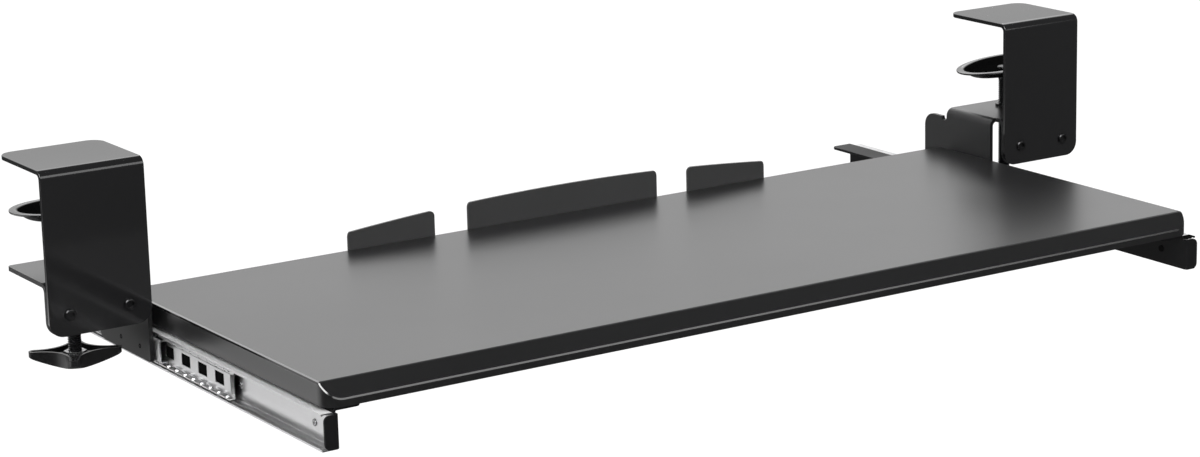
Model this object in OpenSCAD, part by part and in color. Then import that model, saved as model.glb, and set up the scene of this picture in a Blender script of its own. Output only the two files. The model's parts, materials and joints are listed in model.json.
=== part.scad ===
// Clamp-on keyboard tray: a bevelled board on two ball-bearing slides, hung from
// a pair of screw clamps that grip the front edge of a desk.
// Origin: the middle of the desk's top front edge. X runs along the desk, Y runs
// under it and Z points up. The tray is drawn pulled fully out.

/* [Board] */
// Width of the board
board_w = 686; // [560:2:800]
// Depth of the board from front to back
board_d = 279; // [230:1:300]
// Thickness of the board
board_t = 15; // [12:0.5:20]
// Size of the bevel along the top of the front edge
board_bevel = 10; // [4:0.5:11]
// Radius of the front corners, seen from above
board_front_r = 7; // [4:1:30]
// Radius of the rear corners, seen from above
board_rear_r = 2; // [1:0.5:6]

/* [Rear stop] */
// Thickness of the stop plate
stop_t = 2; // [1.5:0.1:3]
// Height of the crown above the board at the middle
stop_rise = 21; // [18:0.5:30]
// Radius of the crown that the three tabs share
stop_crown_r = 1850; // [1600:50:2600]
// Width of the middle tab
stop_mid_w = 160; // [120:2:200]
// Width of each outer tab
stop_side_w = 69; // [50:1:80]
// Width of each cable gap between the tabs
stop_gap_w = 27; // [20:1:36]
// Radius of the tabs' top corners
stop_corner_r = 4; // [2:0.5:6]
// Distance from the board's faces to the edges of the strip behind it
stop_strip_inset = 2; // [1:0.5:3]
// Radius of the strip's lower corners
stop_strip_r = 4; // [2:0.5:5]

/* [Slides] */
// Travel of the tray from fully out to fully in
travel = 215; // [160:5:230]
// Height of the outer rail
rail_h = 23.5; // [22:0.5:30]
// Thickness of the rails' sheet
rail_gauge = 1.2; // [1:0.1:1.5]
// Width of a slide across its two rails
slide_w = 10.2; // [9.8:0.1:12]
// Diameter of the bearing balls
ball_d = 3; // [2.5:0.1:3.4]
// Distance between balls along a race
ball_pitch = 12; // [8:1:20]
// Length of the inner rail
inner_len = 165.5; // [120:0.5:180]
// Distance that the inner rail's front end stands ahead of the hanger's front edge
inner_lead = 8; // [0:0.5:9]
// Distance from that end to the first of its rivets
inner_rivet_inset = 23; // [16:0.5:28]
// Distance between the inner rail's rivets
inner_rivet_pitch = 29; // [20:1:36]
// Length of the ball cage
cage_len = 200; // [140:4:240]
// Thickness of the cage's sheet
cage_gauge = 0.8; // [0.6:0.1:1]
// Room between the webs of the outer rail and the cage
cage_room = 2.2; // [1:0.1:2.4]
// Height by which the strip with the windows stands proud of the cage's web
strip_rise = 0.4; // [0.2:0.1:0.5]
// Height of that strip above and below the windows
strip_rim = 1.8; // [1:0.1:2]
// Distance between the cage's windows
window_pitch = 24; // [18:1:36]
// Length of a window
window_l = 9; // [6:0.2:12]
// Height of a window
window_h = 5.8; // [4:0.2:9]
// Distance between the rivets along the outer rail
rivet_pitch = 98; // [70:2:110]
// Distance from the front of the outer rail to its first rivet
rivet_inset = 22.5; // [12:0.5:30]
// Diameter of a rail rivet
rivet_d = 3; // [2.4:0.1:3.6]

/* [Rail brackets] */
// Distance from the side of the board in to the bracket
side_inset = 3.6; // [2:0.2:8]
// Thickness of the bracket's sheet
bracket_t = 2; // [1.5:0.1:2.5]
// Width of the flange under the board
bracket_w = 20; // [17:0.5:26]
// Height of the upright flange
bracket_h = 24.5; // [24:0.5:34]
// Inner radius of the bracket's bends
bracket_bend_r = 0.8; // [0.6:0.1:2.5]
// Width of the front tab
tab_w = 8.2; // [7:0.2:9.4]
// Distance that the front tab stands ahead of the board
tab_lead = 3; // [2:0.5:6]
// Corner radius of the front tab
tab_r = 4; // [2:0.5:4.5]
// Diameter of the screws into the board
wood_screw_d = 4; // [3:0.2:5]
// Length of those screws under their heads
wood_screw_l = 12; // [9:0.5:13]

/* [Clamps] */
// Width of a clamp's plates
clamp_w = 70; // [66:1:90]
// Thickness of the clamp plates
plate_t = 3; // [2.5:0.1:4]
// Inner radius of the bends
bend_r = 3; // [2:0.1:4]
// Distance that the upper jaw is wider than the shelf on its inner side
jaw_over = 1.2; // [0:0.1:2]
// Reach of the upper jaw over the desk
jaw_reach = 65.5; // [50:0.5:80]
// Height between the upper jaw and the shelf
jaw_gap = 70.5; // [64:0.5:74]
// Height of the jaw's front plate below the desk top
jaw_h = 105.8; // [102:0.2:116]
// Radius of the jaw's corners
jaw_corner_r = 10; // [4:0.5:14]
// Distance between the two bolts
bolt_spacing = 41.2; // [30:0.2:46]
// Height of the bolts above the lower edge
bolt_up = 14; // [12:0.5:16]
// Diameter of the bolts
bolt_d = 6; // [5:0.5:7]
// Diameter of the bolt heads
bolt_head_d = 8; // [7.5:0.5:11]

/* [Hangers] */
// Height of the desk top above the middle of the slides
slide_drop = 128.75; // [126:0.25:150]
// Reach of the shelf under the desk
shelf_reach = 61; // [52:0.5:64]
// Radius of the shelf's outer rear corner
shelf_corner_r = 3; // [2:0.5:10]
// Front edge of the side plate behind the desk edge
side_front = 9; // [7:0.5:9.5]
// Rear edge of the side plate behind the desk edge
side_rear = 87.5; // [80:0.5:96]
// Distance that the side plate reaches below the middle of the slide
side_below = 8; // [5:0.5:12]
// Radius of the rounded lobe at the rear top
lobe_r = 10; // [6:0.5:12]
// Radius of the rear lower corner
heel_r = 9; // [6:0.5:20]
// Radius of the front lower corner
toe_r = 2; // [1:0.5:4]
// Radius of the relief notch beside the shelf
notch_r = 3; // [2:0.5:3.5]

/* [Clamp screws] */
// Diameter of the clamp screw
screw_d = 9; // [8:0.5:10]
// Distance of the screw behind the desk edge
screw_y = 41.5; // [40:0.5:44]
// Diameter of the pad
pad_d = 74; // [56:1:76]
// Width of the pad's flat rim
pad_rim_w = 9; // [6:0.5:10]
// Depth of the pad's bowl
pad_depth = 5.5; // [5:0.5:10]
// Thickness of the pad's sheet
pad_t = 1.5; // [1.2:0.1:2]
// Height of the left pad's rim above the shelf
left_pad_rise = 38.5; // [16:0.5:60]
// Height of the right pad's rim above the shelf
right_pad_rise = 34; // [16:0.5:60]
// Angle at which the loose left pad hangs
left_pad_tilt = 6; // [0:0.5:7.5]
// Angle at which the loose right pad hangs
right_pad_tilt = 4.5; // [0:0.5:7.5]
// Direction of the left pad's low side, turned from the outer end of the desk edge
left_pad_heading = 90; // [0:1:359]
// Direction of the right pad's low side, turned from the outer end of the desk edge
right_pad_heading = 147; // [0:1:359]
// Length of the star handle from tip to tip
handle_len = 60; // [56:1:66]
// Width of each of the handle's four arms
handle_arm_w = 6.6; // [5.5:0.1:8]
// Radius of the hollow flanks between the arms
handle_flank_r = 21; // [18:0.5:22]
// Height of the handle
handle_h = 11; // [10:0.5:18]
// Radius of the handle's domed underside
handle_belly_r = 65; // [60:1:120]
// Distance from the pad's rim down to the top of the handle
handle_drop = 96; // [90:0.5:110]
// Thickness of the handle's wall
handle_wall = 1.6; // [1.2:0.1:2]
// Thickness of the ribs from the handle's hub to its tips
handle_rib_t = 1.4; // [1:0.1:1.8]
// Angle of the handle from the desk edge
handle_turn = 25; // [0:1:90]

/* [Clearances] */
// Room round a fastener's shank
fastener_clear = 0.1; // [0.05:0.05:0.2]
// Room between a ball and its races
race_clear = 0.3; // [0.25:0.05:0.4]
// Room round the clamp screw in its nut
thread_clear = 0.3; // [0.2:0.05:0.4]
// Room round a ball in its cage
cage_clear = 0.2; // [0.1:0.05:0.3]
// Room round the pad's swivel neck
swivel_clear = 0.6; // [0.4:0.05:0.8]
// Room above and below the pad's floor on the neck
seat_room = 0.9; // [0.8:0.05:1.2]

/* [Hidden] */
$fn = 64;
LEFT = -1;
RIGHT = 1;
over = 1;

black_steel = "#26272a";
black_board = "#3a3b3d";
black_plastic = "#1b1c1e";
zinc = "#c9cacb";
bright_steel = "#dcdddf";

// Places across the width, on the right-hand side
face_x = board_w / 2 - side_inset;
hang_x = face_x + slide_w;
clamp_x = hang_x + plate_t + bend_r;
clamp_out_x = clamp_x + clamp_w;
clamp_mid_x = clamp_x + clamp_w / 2;
jaw_x = clamp_x - jaw_over;
jaw_w = clamp_w + jaw_over;

// Heights
slide_z = -slide_drop;
board_low_z = slide_z + rail_h / 2 + bracket_t;
board_top_z = board_low_z + board_t;
shelf_z = -jaw_gap;
bend_end_z = shelf_z - plate_t - bend_r;
bolt_z = bolt_up - jaw_h;

// Places from front to back, with the tray pulled out
board_front_y = -plate_t - travel;
board_back_y = board_front_y + board_d;
tab_front_y = board_front_y - tab_lead;
tab_back_y = tab_front_y + bracket_t;
rail_front_y = tab_back_y + bracket_bend_r + race_clear;
inner_front_y = side_front - inner_lead;
inner_back_y = inner_front_y + inner_len;
lug_room = 0.4;
rail_back_y = inner_back_y + lug_room + rail_gauge;
cage_set = 4.5;
cage_front_y = side_front + cage_set - travel / 2;
cage_back_y = cage_front_y + cage_len;

// Slide cross-section, measured out from the bracket's face and up from the middle
ball_r = ball_d / 2;
race_bite = 0.25;
outer_depth = slide_w - rail_gauge - 0.2;
cage_web_u = rail_gauge + cage_room;
tip_room = 0.5;
inner_tip_u = cage_web_u + cage_gauge + tip_room;
ball_u = inner_tip_u + ball_r + race_clear;
ball_v = rail_h / 2 - rail_gauge - ball_r + race_bite;
inner_half_h = ball_v - ball_r + race_bite;
cage_half_h = ball_v + cage_gauge / 2;
cage_depth = ball_u + ball_r - cage_web_u;
lip_reach = 2.5;
lip_room = 0.5;
lip_half_h = inner_half_h - rail_gauge - lip_room;
lug_half_h = 6;
rivet_head_d = 1.55 * rivet_d;
rivet_head_h = 0.7;
rivet_proud = 0.2;
dimple_d = 0.6 * rivet_d;
dimple_depth = 0.5;
rail_bend_r = 0.8;
cage_bend_r = 0.5;

// Board screws
screw_head_d = 2 * wood_screw_d;
screw_head_h = 0.6 * wood_screw_d;
bracket_screw_count = 4;
bracket_screw_inset = 22;
bracket_flange_r = 4;
bracket_screw_x = face_x - bracket_t - bracket_bend_r - (bracket_w - bracket_t - bracket_bend_r) / 2;
stop_half_w = stop_mid_w / 2 + stop_gap_w + stop_side_w;
stop_screw_xs = [-0.75, -0.25, 0.25, 0.75] * stop_half_w;
stop_screw_z = board_low_z + board_t / 2;

// Clamp hardware
bolt_head_h = bolt_d / 3;
bolt_socket_d = 0.7 * bolt_d;
nut_h = 0.8 * bolt_d;
nut_flats = bolt_d * 5 / 3;
bolt_tail = 1;
bush_collar_d = 1.5 * screw_d;
bush_collar_h = 2;
bush_body_d = 1.3 * screw_d;
bush_body_h = 8;
bush_flats = 2 * screw_d;
neck_d = 0.7 * screw_d;
button_d = 1.2 * screw_d;
button_h = 2;
handle_floor = 3;
boss_d = 1.8 * screw_d;
boss_below_rim = 5;
rib_below_rim = 2;
handle_nut_h = 4;
handle_nut_flats = 0.8 * boss_d;
rib_start = boss_d / 2 - race_clear;
notch_y = shelf_reach + notch_r;
lobe_drop = 1;

// Evenly spread values from a to b
function spread(a, b, n) = [for (i = [0 : n - 1]) a + (b - a) * i / (n - 1)];

// Values from a up to b, one pitch apart
function steps(a, b, pitch) = [for (v = [a : pitch : b]) v];

// Circumscribed radius of a hexagon from its width across the flats
function hex_r(flats) = flats / sqrt(3);

// Draws a right-hand piece on the side that is asked for
module on_side(side) {
    if (side == RIGHT) children();
    else mirror([1, 0, 0]) children();
}

// Extrudes a Y-Z outline along X
module along_x(x0, x1) {
    translate([x0, 0, 0]) rotate([90, 0, 90]) linear_extrude(x1 - x0) children();
}

// Extrudes an X-Z outline along Y
module along_y(y0, y1) {
    translate([0, y1, 0]) rotate([90, 0, 0]) linear_extrude(y1 - y0) children();
}

// Extrudes an X-Y outline along Z
module along_z(z0, z1) {
    translate([0, 0, z0]) linear_extrude(z1 - z0) children();
}

// What a rounded corner takes off a corner at the origin that points to -x, -y
module corner_waste(r) {
    difference() {
        translate([-over, -over]) square(r + over);
        translate([r, r]) circle(r);
    }
}

// Rectangle with its own radius at each corner: low left, low right, top right, top left
module plate_outline(w, h, r) {
    difference() {
        square([w, h]);
        if (r[0] > 0) corner_waste(r[0]);
        if (r[1] > 0) translate([w, 0]) mirror([1, 0]) corner_waste(r[1]);
        if (r[2] > 0) translate([w, h]) rotate(180) corner_waste(r[2]);
        if (r[3] > 0) translate([0, h]) mirror([0, 1]) corner_waste(r[3]);
    }
}

// Section of a bend: a quarter ring towards -x, +y round the origin
module bend_section(r, t) {
    intersection() {
        difference() {
            circle(r + t);
            circle(r);
        }
        translate([-r - t, 0]) square(r + t);
    }
}

// Section of a C-channel with its web at x = 0 and its flanges towards +x
module channel_section(depth, height, gauge, r) {
    difference() {
        translate([0, -height / 2]) plate_outline(depth, height, [r + gauge, 0, 0, r + gauge]);
        translate([gauge, gauge - height / 2]) plate_outline(depth, height - 2 * gauge, [r, 0, 0, r]);
    }
}

// Grooves in which the balls run
module races() {
    for (s = [-1, 1]) translate([ball_u, s * ball_v]) circle(ball_r + race_clear);
}

// Rivet along +x: a flat head before its grip and, past it, an end with a dimple
module rivet(x0, x1, end_d, end_h) {
    turn = [0, 90, 0];
    translate([x0 - rivet_head_h, 0, 0]) rotate(turn) cylinder(h = rivet_head_h, d = rivet_head_d);
    difference() {
        union() {
            translate([x0, 0, 0]) rotate(turn) cylinder(h = x1 - x0, d = rivet_d);
            translate([x1, 0, 0]) rotate(turn) cylinder(h = end_h, d = end_d);
        }
        translate([x1 + end_h - dimple_depth, 0, 0]) rotate(turn)
            cylinder(h = dimple_depth + over, d = dimple_d);
    }
}

// Pan-head screw whose shank points up from under its head
module pan_screw() {
    translate([0, 0, -screw_head_h]) cylinder(h = screw_head_h, d1 = 0.7 * screw_head_d, d2 = screw_head_d);
    cylinder(h = wood_screw_l, d = wood_screw_d);
}

// Pilot hole for such a screw
module pilot() {
    hole_d = wood_screw_d + 2 * fastener_clear;
    translate([0, 0, -over]) cylinder(h = wood_screw_l + over + fastener_clear, d = hole_d);
}

// Places of the jaw's two bolts, pointing back
module at_bolts() {
    for (x = [-0.5, 0.5] * bolt_spacing)
        translate([clamp_mid_x + x, 0, bolt_z]) rotate([-90, 0, 0]) children();
}

// Clearance holes for the jaw bolts
module bolt_holes() {
    at_bolts() translate([0, 0, -plate_t - over])
        cylinder(h = 2 * (plate_t + over), d = bolt_d + 2 * fastener_clear);
}

// Places of the clamp screw's axis
module at_screw() {
    translate([clamp_mid_x, screw_y, 0]) children();
}

// Places of the inner rail's rivets on the hanger
module at_inner_rivets() {
    for (y = [0, inner_rivet_pitch] + [1, 1] * (inner_front_y + inner_rivet_inset))
        translate([0, y, slide_z]) children();
}

// Places of the outer rail's rivets on the bracket
module at_outer_rivets() {
    for (y = steps(rail_front_y + rivet_inset, rail_back_y - rivet_inset, rivet_pitch))
        translate([0, y, slide_z]) children();
}

// Places of the bracket's screws under the board
module at_bracket_screws() {
    first_y = board_front_y + bracket_screw_inset;
    last_y = board_back_y - bracket_screw_inset;
    for (y = spread(first_y, last_y, bracket_screw_count))
        translate([bracket_screw_x, y, board_low_z]) children();
}

// Places of the rear stop's screws, pointing forward
module at_stop_screws() {
    for (x = stop_screw_xs) translate([x, board_back_y, stop_screw_z]) rotate([90, 0, 0]) children();
}

// Height of a pad's rim on one side
function rim_z(side) = shelf_z + (side == LEFT ? left_pad_rise : right_pad_rise);

// Turn that hangs a pad at its tilt, with its low side where it points
function pad_turn(side) =
    side == LEFT ? [0, left_pad_tilt, left_pad_heading] : [0, right_pad_tilt, right_pad_heading];

// Upper jaw: one plate bent over the desk edge, with round corners and two bolt holes
module upper_jaw(side) {
    color(black_steel) on_side(side) difference() {
        intersection() {
            along_x(jaw_x, clamp_out_x) {
                translate([-plate_t, -jaw_h]) square([plate_t, jaw_h - bend_r]);
                translate([bend_r, -bend_r]) bend_section(bend_r, plate_t);
                translate([bend_r, 0]) square([jaw_reach - bend_r, plate_t]);
            }
            along_z(-jaw_h - over, plate_t + over) translate([jaw_x, -plate_t - over])
                plate_outline(jaw_w, jaw_reach + plate_t + over, [0, 0, jaw_corner_r, jaw_corner_r]);
            along_y(-plate_t - over, jaw_reach + over) translate([jaw_x, -jaw_h])
                plate_outline(jaw_w, jaw_h + plate_t + over, [jaw_corner_r, jaw_corner_r, 0, 0]);
        }
        bolt_holes();
    }
}

// Outline of the hanger's side plate in Y and Z, with its lobe, notch and heel
module side_outline() {
    low_z = slide_z - side_below;
    lobe_z = bend_end_z - lobe_drop;
    difference() {
        union() {
            translate([side_front, low_z])
                plate_outline(side_rear - side_front, lobe_z - low_z, [toe_r, heel_r, lobe_r, 0]);
            translate([side_front, low_z + heel_r])
                square([shelf_reach - side_front, bend_end_z - low_z - heel_r]);
        }
        translate([notch_y, lobe_z]) circle(notch_r);
    }
}

// Hanger: shelf, front flange and side plate bent from one blank
module hanger(side) {
    color(black_steel) on_side(side) difference() {
        union() {
            along_z(shelf_z - plate_t, shelf_z) translate([clamp_x, plate_t + bend_r])
                plate_outline(clamp_w, shelf_reach - plate_t - bend_r, [0, 0, shelf_corner_r, 0]);
            along_x(clamp_x, clamp_out_x) translate([plate_t + bend_r, bend_end_z])
                bend_section(bend_r, plate_t);
            along_y(0, plate_t) translate([clamp_x, -jaw_h])
                plate_outline(clamp_w, bend_end_z + jaw_h, [jaw_corner_r, jaw_corner_r, 0, 0]);
            along_y(side_front, shelf_reach) translate([clamp_x, bend_end_z])
                bend_section(bend_r, plate_t);
            along_x(hang_x, hang_x + plate_t) side_outline();
        }
        bolt_holes();
        at_screw() translate([0, 0, shelf_z - plate_t - over])
            cylinder(h = plate_t + 2 * over, d = bush_body_d + 2 * fastener_clear);
        at_inner_rivets() translate([hang_x - over, 0, 0]) rotate([0, 90, 0])
            cylinder(h = plate_t + 2 * over, d = rivet_d + 2 * fastener_clear);
    }
}

// Button-head bolts with hexagon sockets that join jaw and hanger
module jaw_bolts(side) {
    color(black_steel) on_side(side) at_bolts() difference() {
        union() {
            translate([0, 0, -plate_t - bolt_head_h])
                cylinder(h = bolt_head_h, d1 = 0.75 * bolt_head_d, d2 = bolt_head_d);
            translate([0, 0, -plate_t]) cylinder(h = 2 * plate_t + nut_h + bolt_tail, d = bolt_d);
        }
        translate([0, 0, -plate_t - bolt_head_h - over])
            cylinder(h = over + 0.7 * bolt_head_h, r = hex_r(bolt_socket_d), $fn = 6);
    }
}

// Hexagon nuts behind the hanger's front flange
module jaw_nuts(side) {
    color(black_steel) on_side(side) at_bolts() translate([0, 0, plate_t]) difference() {
        cylinder(h = nut_h, r = hex_r(nut_flats), $fn = 6);
        translate([0, 0, -over]) cylinder(h = nut_h + 2 * over, d = bolt_d + 2 * fastener_clear);
    }
}

// Threaded bush set in the shelf, in which the clamp screw runs
module screw_bush(side) {
    color(black_steel) on_side(side) at_screw() difference() {
        union() {
            translate([0, 0, shelf_z]) cylinder(h = bush_collar_h, d = bush_collar_d);
            translate([0, 0, shelf_z - plate_t]) cylinder(h = plate_t, d = bush_body_d);
            translate([0, 0, shelf_z - plate_t - bush_body_h])
                cylinder(h = bush_body_h, r = hex_r(bush_flats), $fn = 6);
        }
        translate([0, 0, shelf_z - plate_t - bush_body_h - over])
            cylinder(h = bush_body_h + plate_t + bush_collar_h + 2 * over, d = screw_d + 2 * thread_clear);
    }
}

// Inner rail: a short channel that faces the tray
module inner_rail(side) {
    inner_h = 2 * inner_half_h;
    color(zinc) on_side(side) difference() {
        along_y(inner_front_y, inner_back_y) translate([face_x, slide_z]) difference() {
            translate([slide_w, 0]) mirror([1, 0])
                channel_section(slide_w - inner_tip_u, inner_h, rail_gauge, rail_bend_r);
            races();
        }
        at_inner_rivets() translate([hang_x - rail_gauge - over, 0, 0]) rotate([0, 90, 0])
            cylinder(h = rail_gauge + 2 * over, d = rivet_d + 2 * fastener_clear);
    }
}

// Rivets that fix the inner rail to the hanger
module inner_rivets(side) {
    color(black_steel) on_side(side) at_inner_rivets()
        rivet(hang_x - rail_gauge, hang_x + plate_t, rivet_d, rivet_proud);
}

// Board: bevelled front edge, round front corners and pilot holes for its screws
module tray_board() {
    color(black_board) difference() {
        along_z(board_low_z, board_top_z) translate([-board_w / 2, board_front_y])
            plate_outline(board_w, board_d, [board_front_r, board_front_r, board_rear_r, board_rear_r]);
        along_x(-board_w / 2 - over, board_w / 2 + over) translate([board_front_y, board_top_z])
            polygon([[-over, over], [-over, -board_bevel - over], [board_bevel + over, over]]);
        for (side = [LEFT, RIGHT]) on_side(side) at_bracket_screws() pilot();
        at_stop_screws() translate([0, 0, -stop_t]) pilot();
    }
}

// Outline of one tab of the rear stop, from x0 to x1, under the shared crown
module tab_outline(x0, x1) {
    crown_z = function (x) board_top_z + stop_rise - stop_crown_r + sqrt(pow(stop_crown_r, 2) - pow(x, 2));
    low_z = board_top_z - stop_strip_inset;
    difference() {
        intersection() {
            translate([x0, low_z]) square([x1 - x0, stop_rise + stop_strip_inset + over]);
            translate([0, board_top_z + stop_rise - stop_crown_r]) circle(stop_crown_r, $fn = 720);
        }
        translate([x0, crown_z(x0)]) mirror([0, 1]) corner_waste(stop_corner_r);
        translate([x1, crown_z(x1)]) rotate(180) corner_waste(stop_corner_r);
    }
}

// Rear stop: a strip on the board's rear edge with three tabs and two cable gaps
module rear_stop() {
    side_x = stop_mid_w / 2 + stop_gap_w;
    strip_h = board_t - 2 * stop_strip_inset;
    color(black_steel) difference() {
        along_y(board_back_y, board_back_y + stop_t) {
            translate([-stop_half_w, board_low_z + stop_strip_inset])
                plate_outline(2 * stop_half_w, strip_h, [stop_strip_r, stop_strip_r, 0, 0]);
            tab_outline(-stop_mid_w / 2, stop_mid_w / 2);
            tab_outline(side_x, side_x + stop_side_w);
            tab_outline(-side_x - stop_side_w, -side_x);
        }
        at_stop_screws() translate([0, 0, -stop_t - over])
            cylinder(h = stop_t + 2 * over, d = wood_screw_d + 2 * fastener_clear);
    }
}

// Pan-head screws that hold the rear stop
module rear_stop_screws() {
    color(black_steel) at_stop_screws() translate([0, 0, -stop_t]) pan_screw();
}

// Rail bracket: an angle under the board's side, with a tab turned out at the front
module rail_bracket(side) {
    ring_r = bracket_bend_r + bracket_t;
    low_z = board_low_z - bracket_h;
    color(black_steel) on_side(side) difference() {
        union() {
            along_z(board_low_z - bracket_t, board_low_z) translate([face_x - bracket_w, tab_back_y + ring_r])
                plate_outline(
                    bracket_w - ring_r, rail_back_y - tab_back_y - ring_r,
                    [bracket_flange_r, 0, 0, bracket_flange_r]
                );
            along_y(tab_back_y + ring_r, rail_back_y) translate([face_x - ring_r, board_low_z - ring_r])
                mirror([1, 0]) bend_section(bracket_bend_r, bracket_t);
            along_x(face_x - bracket_t, face_x) translate([tab_back_y + bracket_bend_r, low_z])
                square([rail_back_y - tab_back_y - bracket_bend_r, bracket_h - ring_r]);
            along_z(low_z, board_low_z - ring_r)
                translate([face_x + bracket_bend_r, tab_back_y + bracket_bend_r]) mirror([0, 1])
                    bend_section(bracket_bend_r, bracket_t);
            along_y(tab_front_y, tab_back_y) translate([face_x + bracket_bend_r, low_z])
                plate_outline(tab_w - bracket_bend_r, bracket_h - ring_r, [0, tab_r, tab_r, 0]);
        }
        at_bracket_screws() translate([0, 0, -bracket_t - over])
            cylinder(h = bracket_t + 2 * over, d = wood_screw_d + 2 * fastener_clear);
        at_outer_rivets() translate([face_x - bracket_t - over, 0, 0]) rotate([0, 90, 0])
            cylinder(h = bracket_t + 2 * over, d = rivet_d + 2 * fastener_clear);
    }
}

// Screws up through the bracket's flange into the board
module bracket_screws(side) {
    color(black_steel) on_side(side) at_bracket_screws() translate([0, 0, -bracket_t]) pan_screw();
}

// Outer rail: a channel that opens outwards, with a stop lug at the rear
module outer_rail(side) {
    color(zinc) on_side(side) difference() {
        union() {
            along_y(rail_front_y, rail_back_y) translate([face_x, slide_z]) difference() {
                channel_section(outer_depth, rail_h, rail_gauge, rail_bend_r);
                races();
            }
            along_y(rail_back_y - rail_gauge, rail_back_y) translate([face_x, slide_z - lug_half_h])
                plate_outline(outer_depth, 2 * lug_half_h, [0, rail_gauge, rail_gauge, 0]);
        }
        at_outer_rivets() translate([face_x - over, 0, 0]) rotate([0, 90, 0])
            cylinder(h = rail_gauge + 2 * over, d = rivet_d + 2 * fastener_clear);
    }
}

// Rivets that fix the outer rail to the bracket
module outer_rivets(side) {
    color(bright_steel) on_side(side) at_outer_rivets()
        rivet(face_x - bracket_t, face_x + rail_gauge, rivet_head_d, rivet_head_h);
}

// Places of the balls along both races
module at_balls() {
    for (y = steps(cage_front_y + ball_pitch / 2, cage_back_y - ball_pitch / 2, ball_pitch), s = [-1, 1])
        translate([face_x + ball_u, y, slide_z + s * ball_v]) children();
}

// Ball cage: a thin channel with a raised strip of windows in its web and a hole for each ball
module ball_cage(side) {
    first_window_y = cage_front_y + window_pitch - window_l / 2;
    strip_half_h = window_h / 2 + strip_rim;
    color(zinc) on_side(side) difference() {
        union() {
            along_y(cage_front_y, cage_back_y) translate([face_x + cage_web_u, slide_z])
                channel_section(cage_depth, 2 * cage_half_h, cage_gauge, cage_bend_r);
            along_y(cage_front_y, cage_front_y + cage_gauge)
                translate([face_x + cage_web_u, slide_z - lip_half_h])
                    square([cage_gauge + lip_reach, 2 * lip_half_h]);
            along_y(cage_front_y, cage_back_y) translate([face_x + cage_web_u, slide_z - strip_half_h])
                square([cage_gauge + strip_rise, 2 * strip_half_h]);
        }
        for (y = steps(first_window_y, cage_back_y - window_l, window_pitch))
            translate([face_x + cage_web_u - over, y - window_l / 2, slide_z - window_h / 2])
                cube([cage_gauge + strip_rise + 2 * over, window_l, window_h]);
        at_balls() translate([0, 0, -cage_gauge]) cylinder(h = 2 * cage_gauge, r = ball_r + cage_clear);
    }
}

// Steel balls, two rows in each slide
module balls(side) {
    color(bright_steel) on_side(side) at_balls() sphere(ball_r);
}

// Pad: a dished cup with a flat rim that presses on the desk from below, loose on its neck
module clamp_pad(side) {
    pivot_z = -pad_depth - pad_t / 2;
    rim_r = pad_d / 2;
    mouth_r = rim_r - pad_rim_w;
    floor_r = mouth_r - 0.75 * pad_depth;
    hole_r = neck_d / 2 + swivel_clear;
    color(black_steel) on_side(side) at_screw() translate([0, 0, rim_z(side) + pivot_z])
        rotate(pad_turn(side)) translate([0, 0, -pivot_z]) rotate_extrude() {
            polygon([
                [hole_r, -pad_depth - pad_t], [floor_r, -pad_depth - pad_t], [mouth_r + pad_t / 2, -pad_t],
                [rim_r - pad_t / 2, -pad_t], [rim_r - pad_t / 2, 0], [mouth_r, 0],
                [floor_r - pad_t / 2, -pad_depth], [hole_r, -pad_depth]
            ]);
            translate([rim_r - pad_t / 2, -pad_t / 2]) circle(pad_t / 2);
        }
}

// Clamp screw: shank, swivel neck and the button that keeps the pad on
module clamp_screw(side) {
    shoulder_z = -pad_depth - pad_t - seat_room;
    tail_z = -handle_drop - handle_h + handle_floor / 2;
    button_z = -pad_depth + seat_room;
    color(black_steel) on_side(side) at_screw() translate([0, 0, rim_z(side)]) {
        translate([0, 0, tail_z]) cylinder(h = shoulder_z - tail_z, d = screw_d);
        translate([0, 0, shoulder_z]) cylinder(h = button_z - shoulder_z, d = neck_d);
        translate([0, 0, button_z]) cylinder(h = button_h, d1 = button_d, d2 = 0.7 * button_d);
    }
}

// Plan of the handle: four arms with round tips and hollow flanks between them
module star_plan(len, arm_w, flank_r) {
    flank_at = flank_r + arm_w / 2;
    tip_at = (len - arm_w) / 2;
    difference() {
        square(2 * flank_at, center = true);
        for (x = [-1, 1], y = [-1, 1]) translate([x, y] * flank_at) circle(flank_r);
    }
    for (turn = [0 : 90 : 270]) rotate(turn) {
        translate([flank_at, -arm_w / 2]) square([tip_at - flank_at, arm_w]);
        translate([tip_at, 0]) circle(d = arm_w);
    }
}

// Star of the handle, smaller all round by a wall and cut off above its domed underside
module star(wall, low, top) {
    intersection() {
        linear_extrude(top)
            star_plan(handle_len - 2 * wall, handle_arm_w - 2 * wall, handle_flank_r + wall);
        translate([0, 0, handle_belly_r]) sphere(handle_belly_r - low);
    }
}

// Handle: a hollow-topped, four-armed star with a boss for the screw and a rib in each arm
module clamp_handle(side) {
    tail_z = handle_floor / 2;
    rib_h = handle_h - rib_below_rim;
    color(black_plastic) on_side(side) at_screw()
        translate([0, 0, rim_z(side) - handle_drop - handle_h]) rotate(handle_turn) difference() {
            star(0, 0, handle_h);
            difference() {
                star(handle_wall, handle_floor, handle_h + over);
                cylinder(h = handle_h - boss_below_rim, d = boss_d);
                for (turn = [0 : 90 : 270]) rotate(turn) translate([rib_start, -handle_rib_t / 2, 0])
                    cube([handle_len / 2 - rib_start, handle_rib_t, rib_h]);
            }
            translate([0, 0, tail_z]) cylinder(h = handle_h, d = screw_d + 2 * fastener_clear);
        }
}

// Bright lock nut on the handle's boss
module handle_nut(side) {
    color(bright_steel) on_side(side) at_screw() translate([0, 0, rim_z(side) - handle_drop - boss_below_rim])
        rotate(handle_turn) difference() {
            cylinder(h = handle_nut_h, r = hex_r(handle_nut_flats), $fn = 6);
            translate([0, 0, -over]) cylinder(h = handle_nut_h + 2 * over, d = screw_d + 2 * fastener_clear);
        }
}

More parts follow.
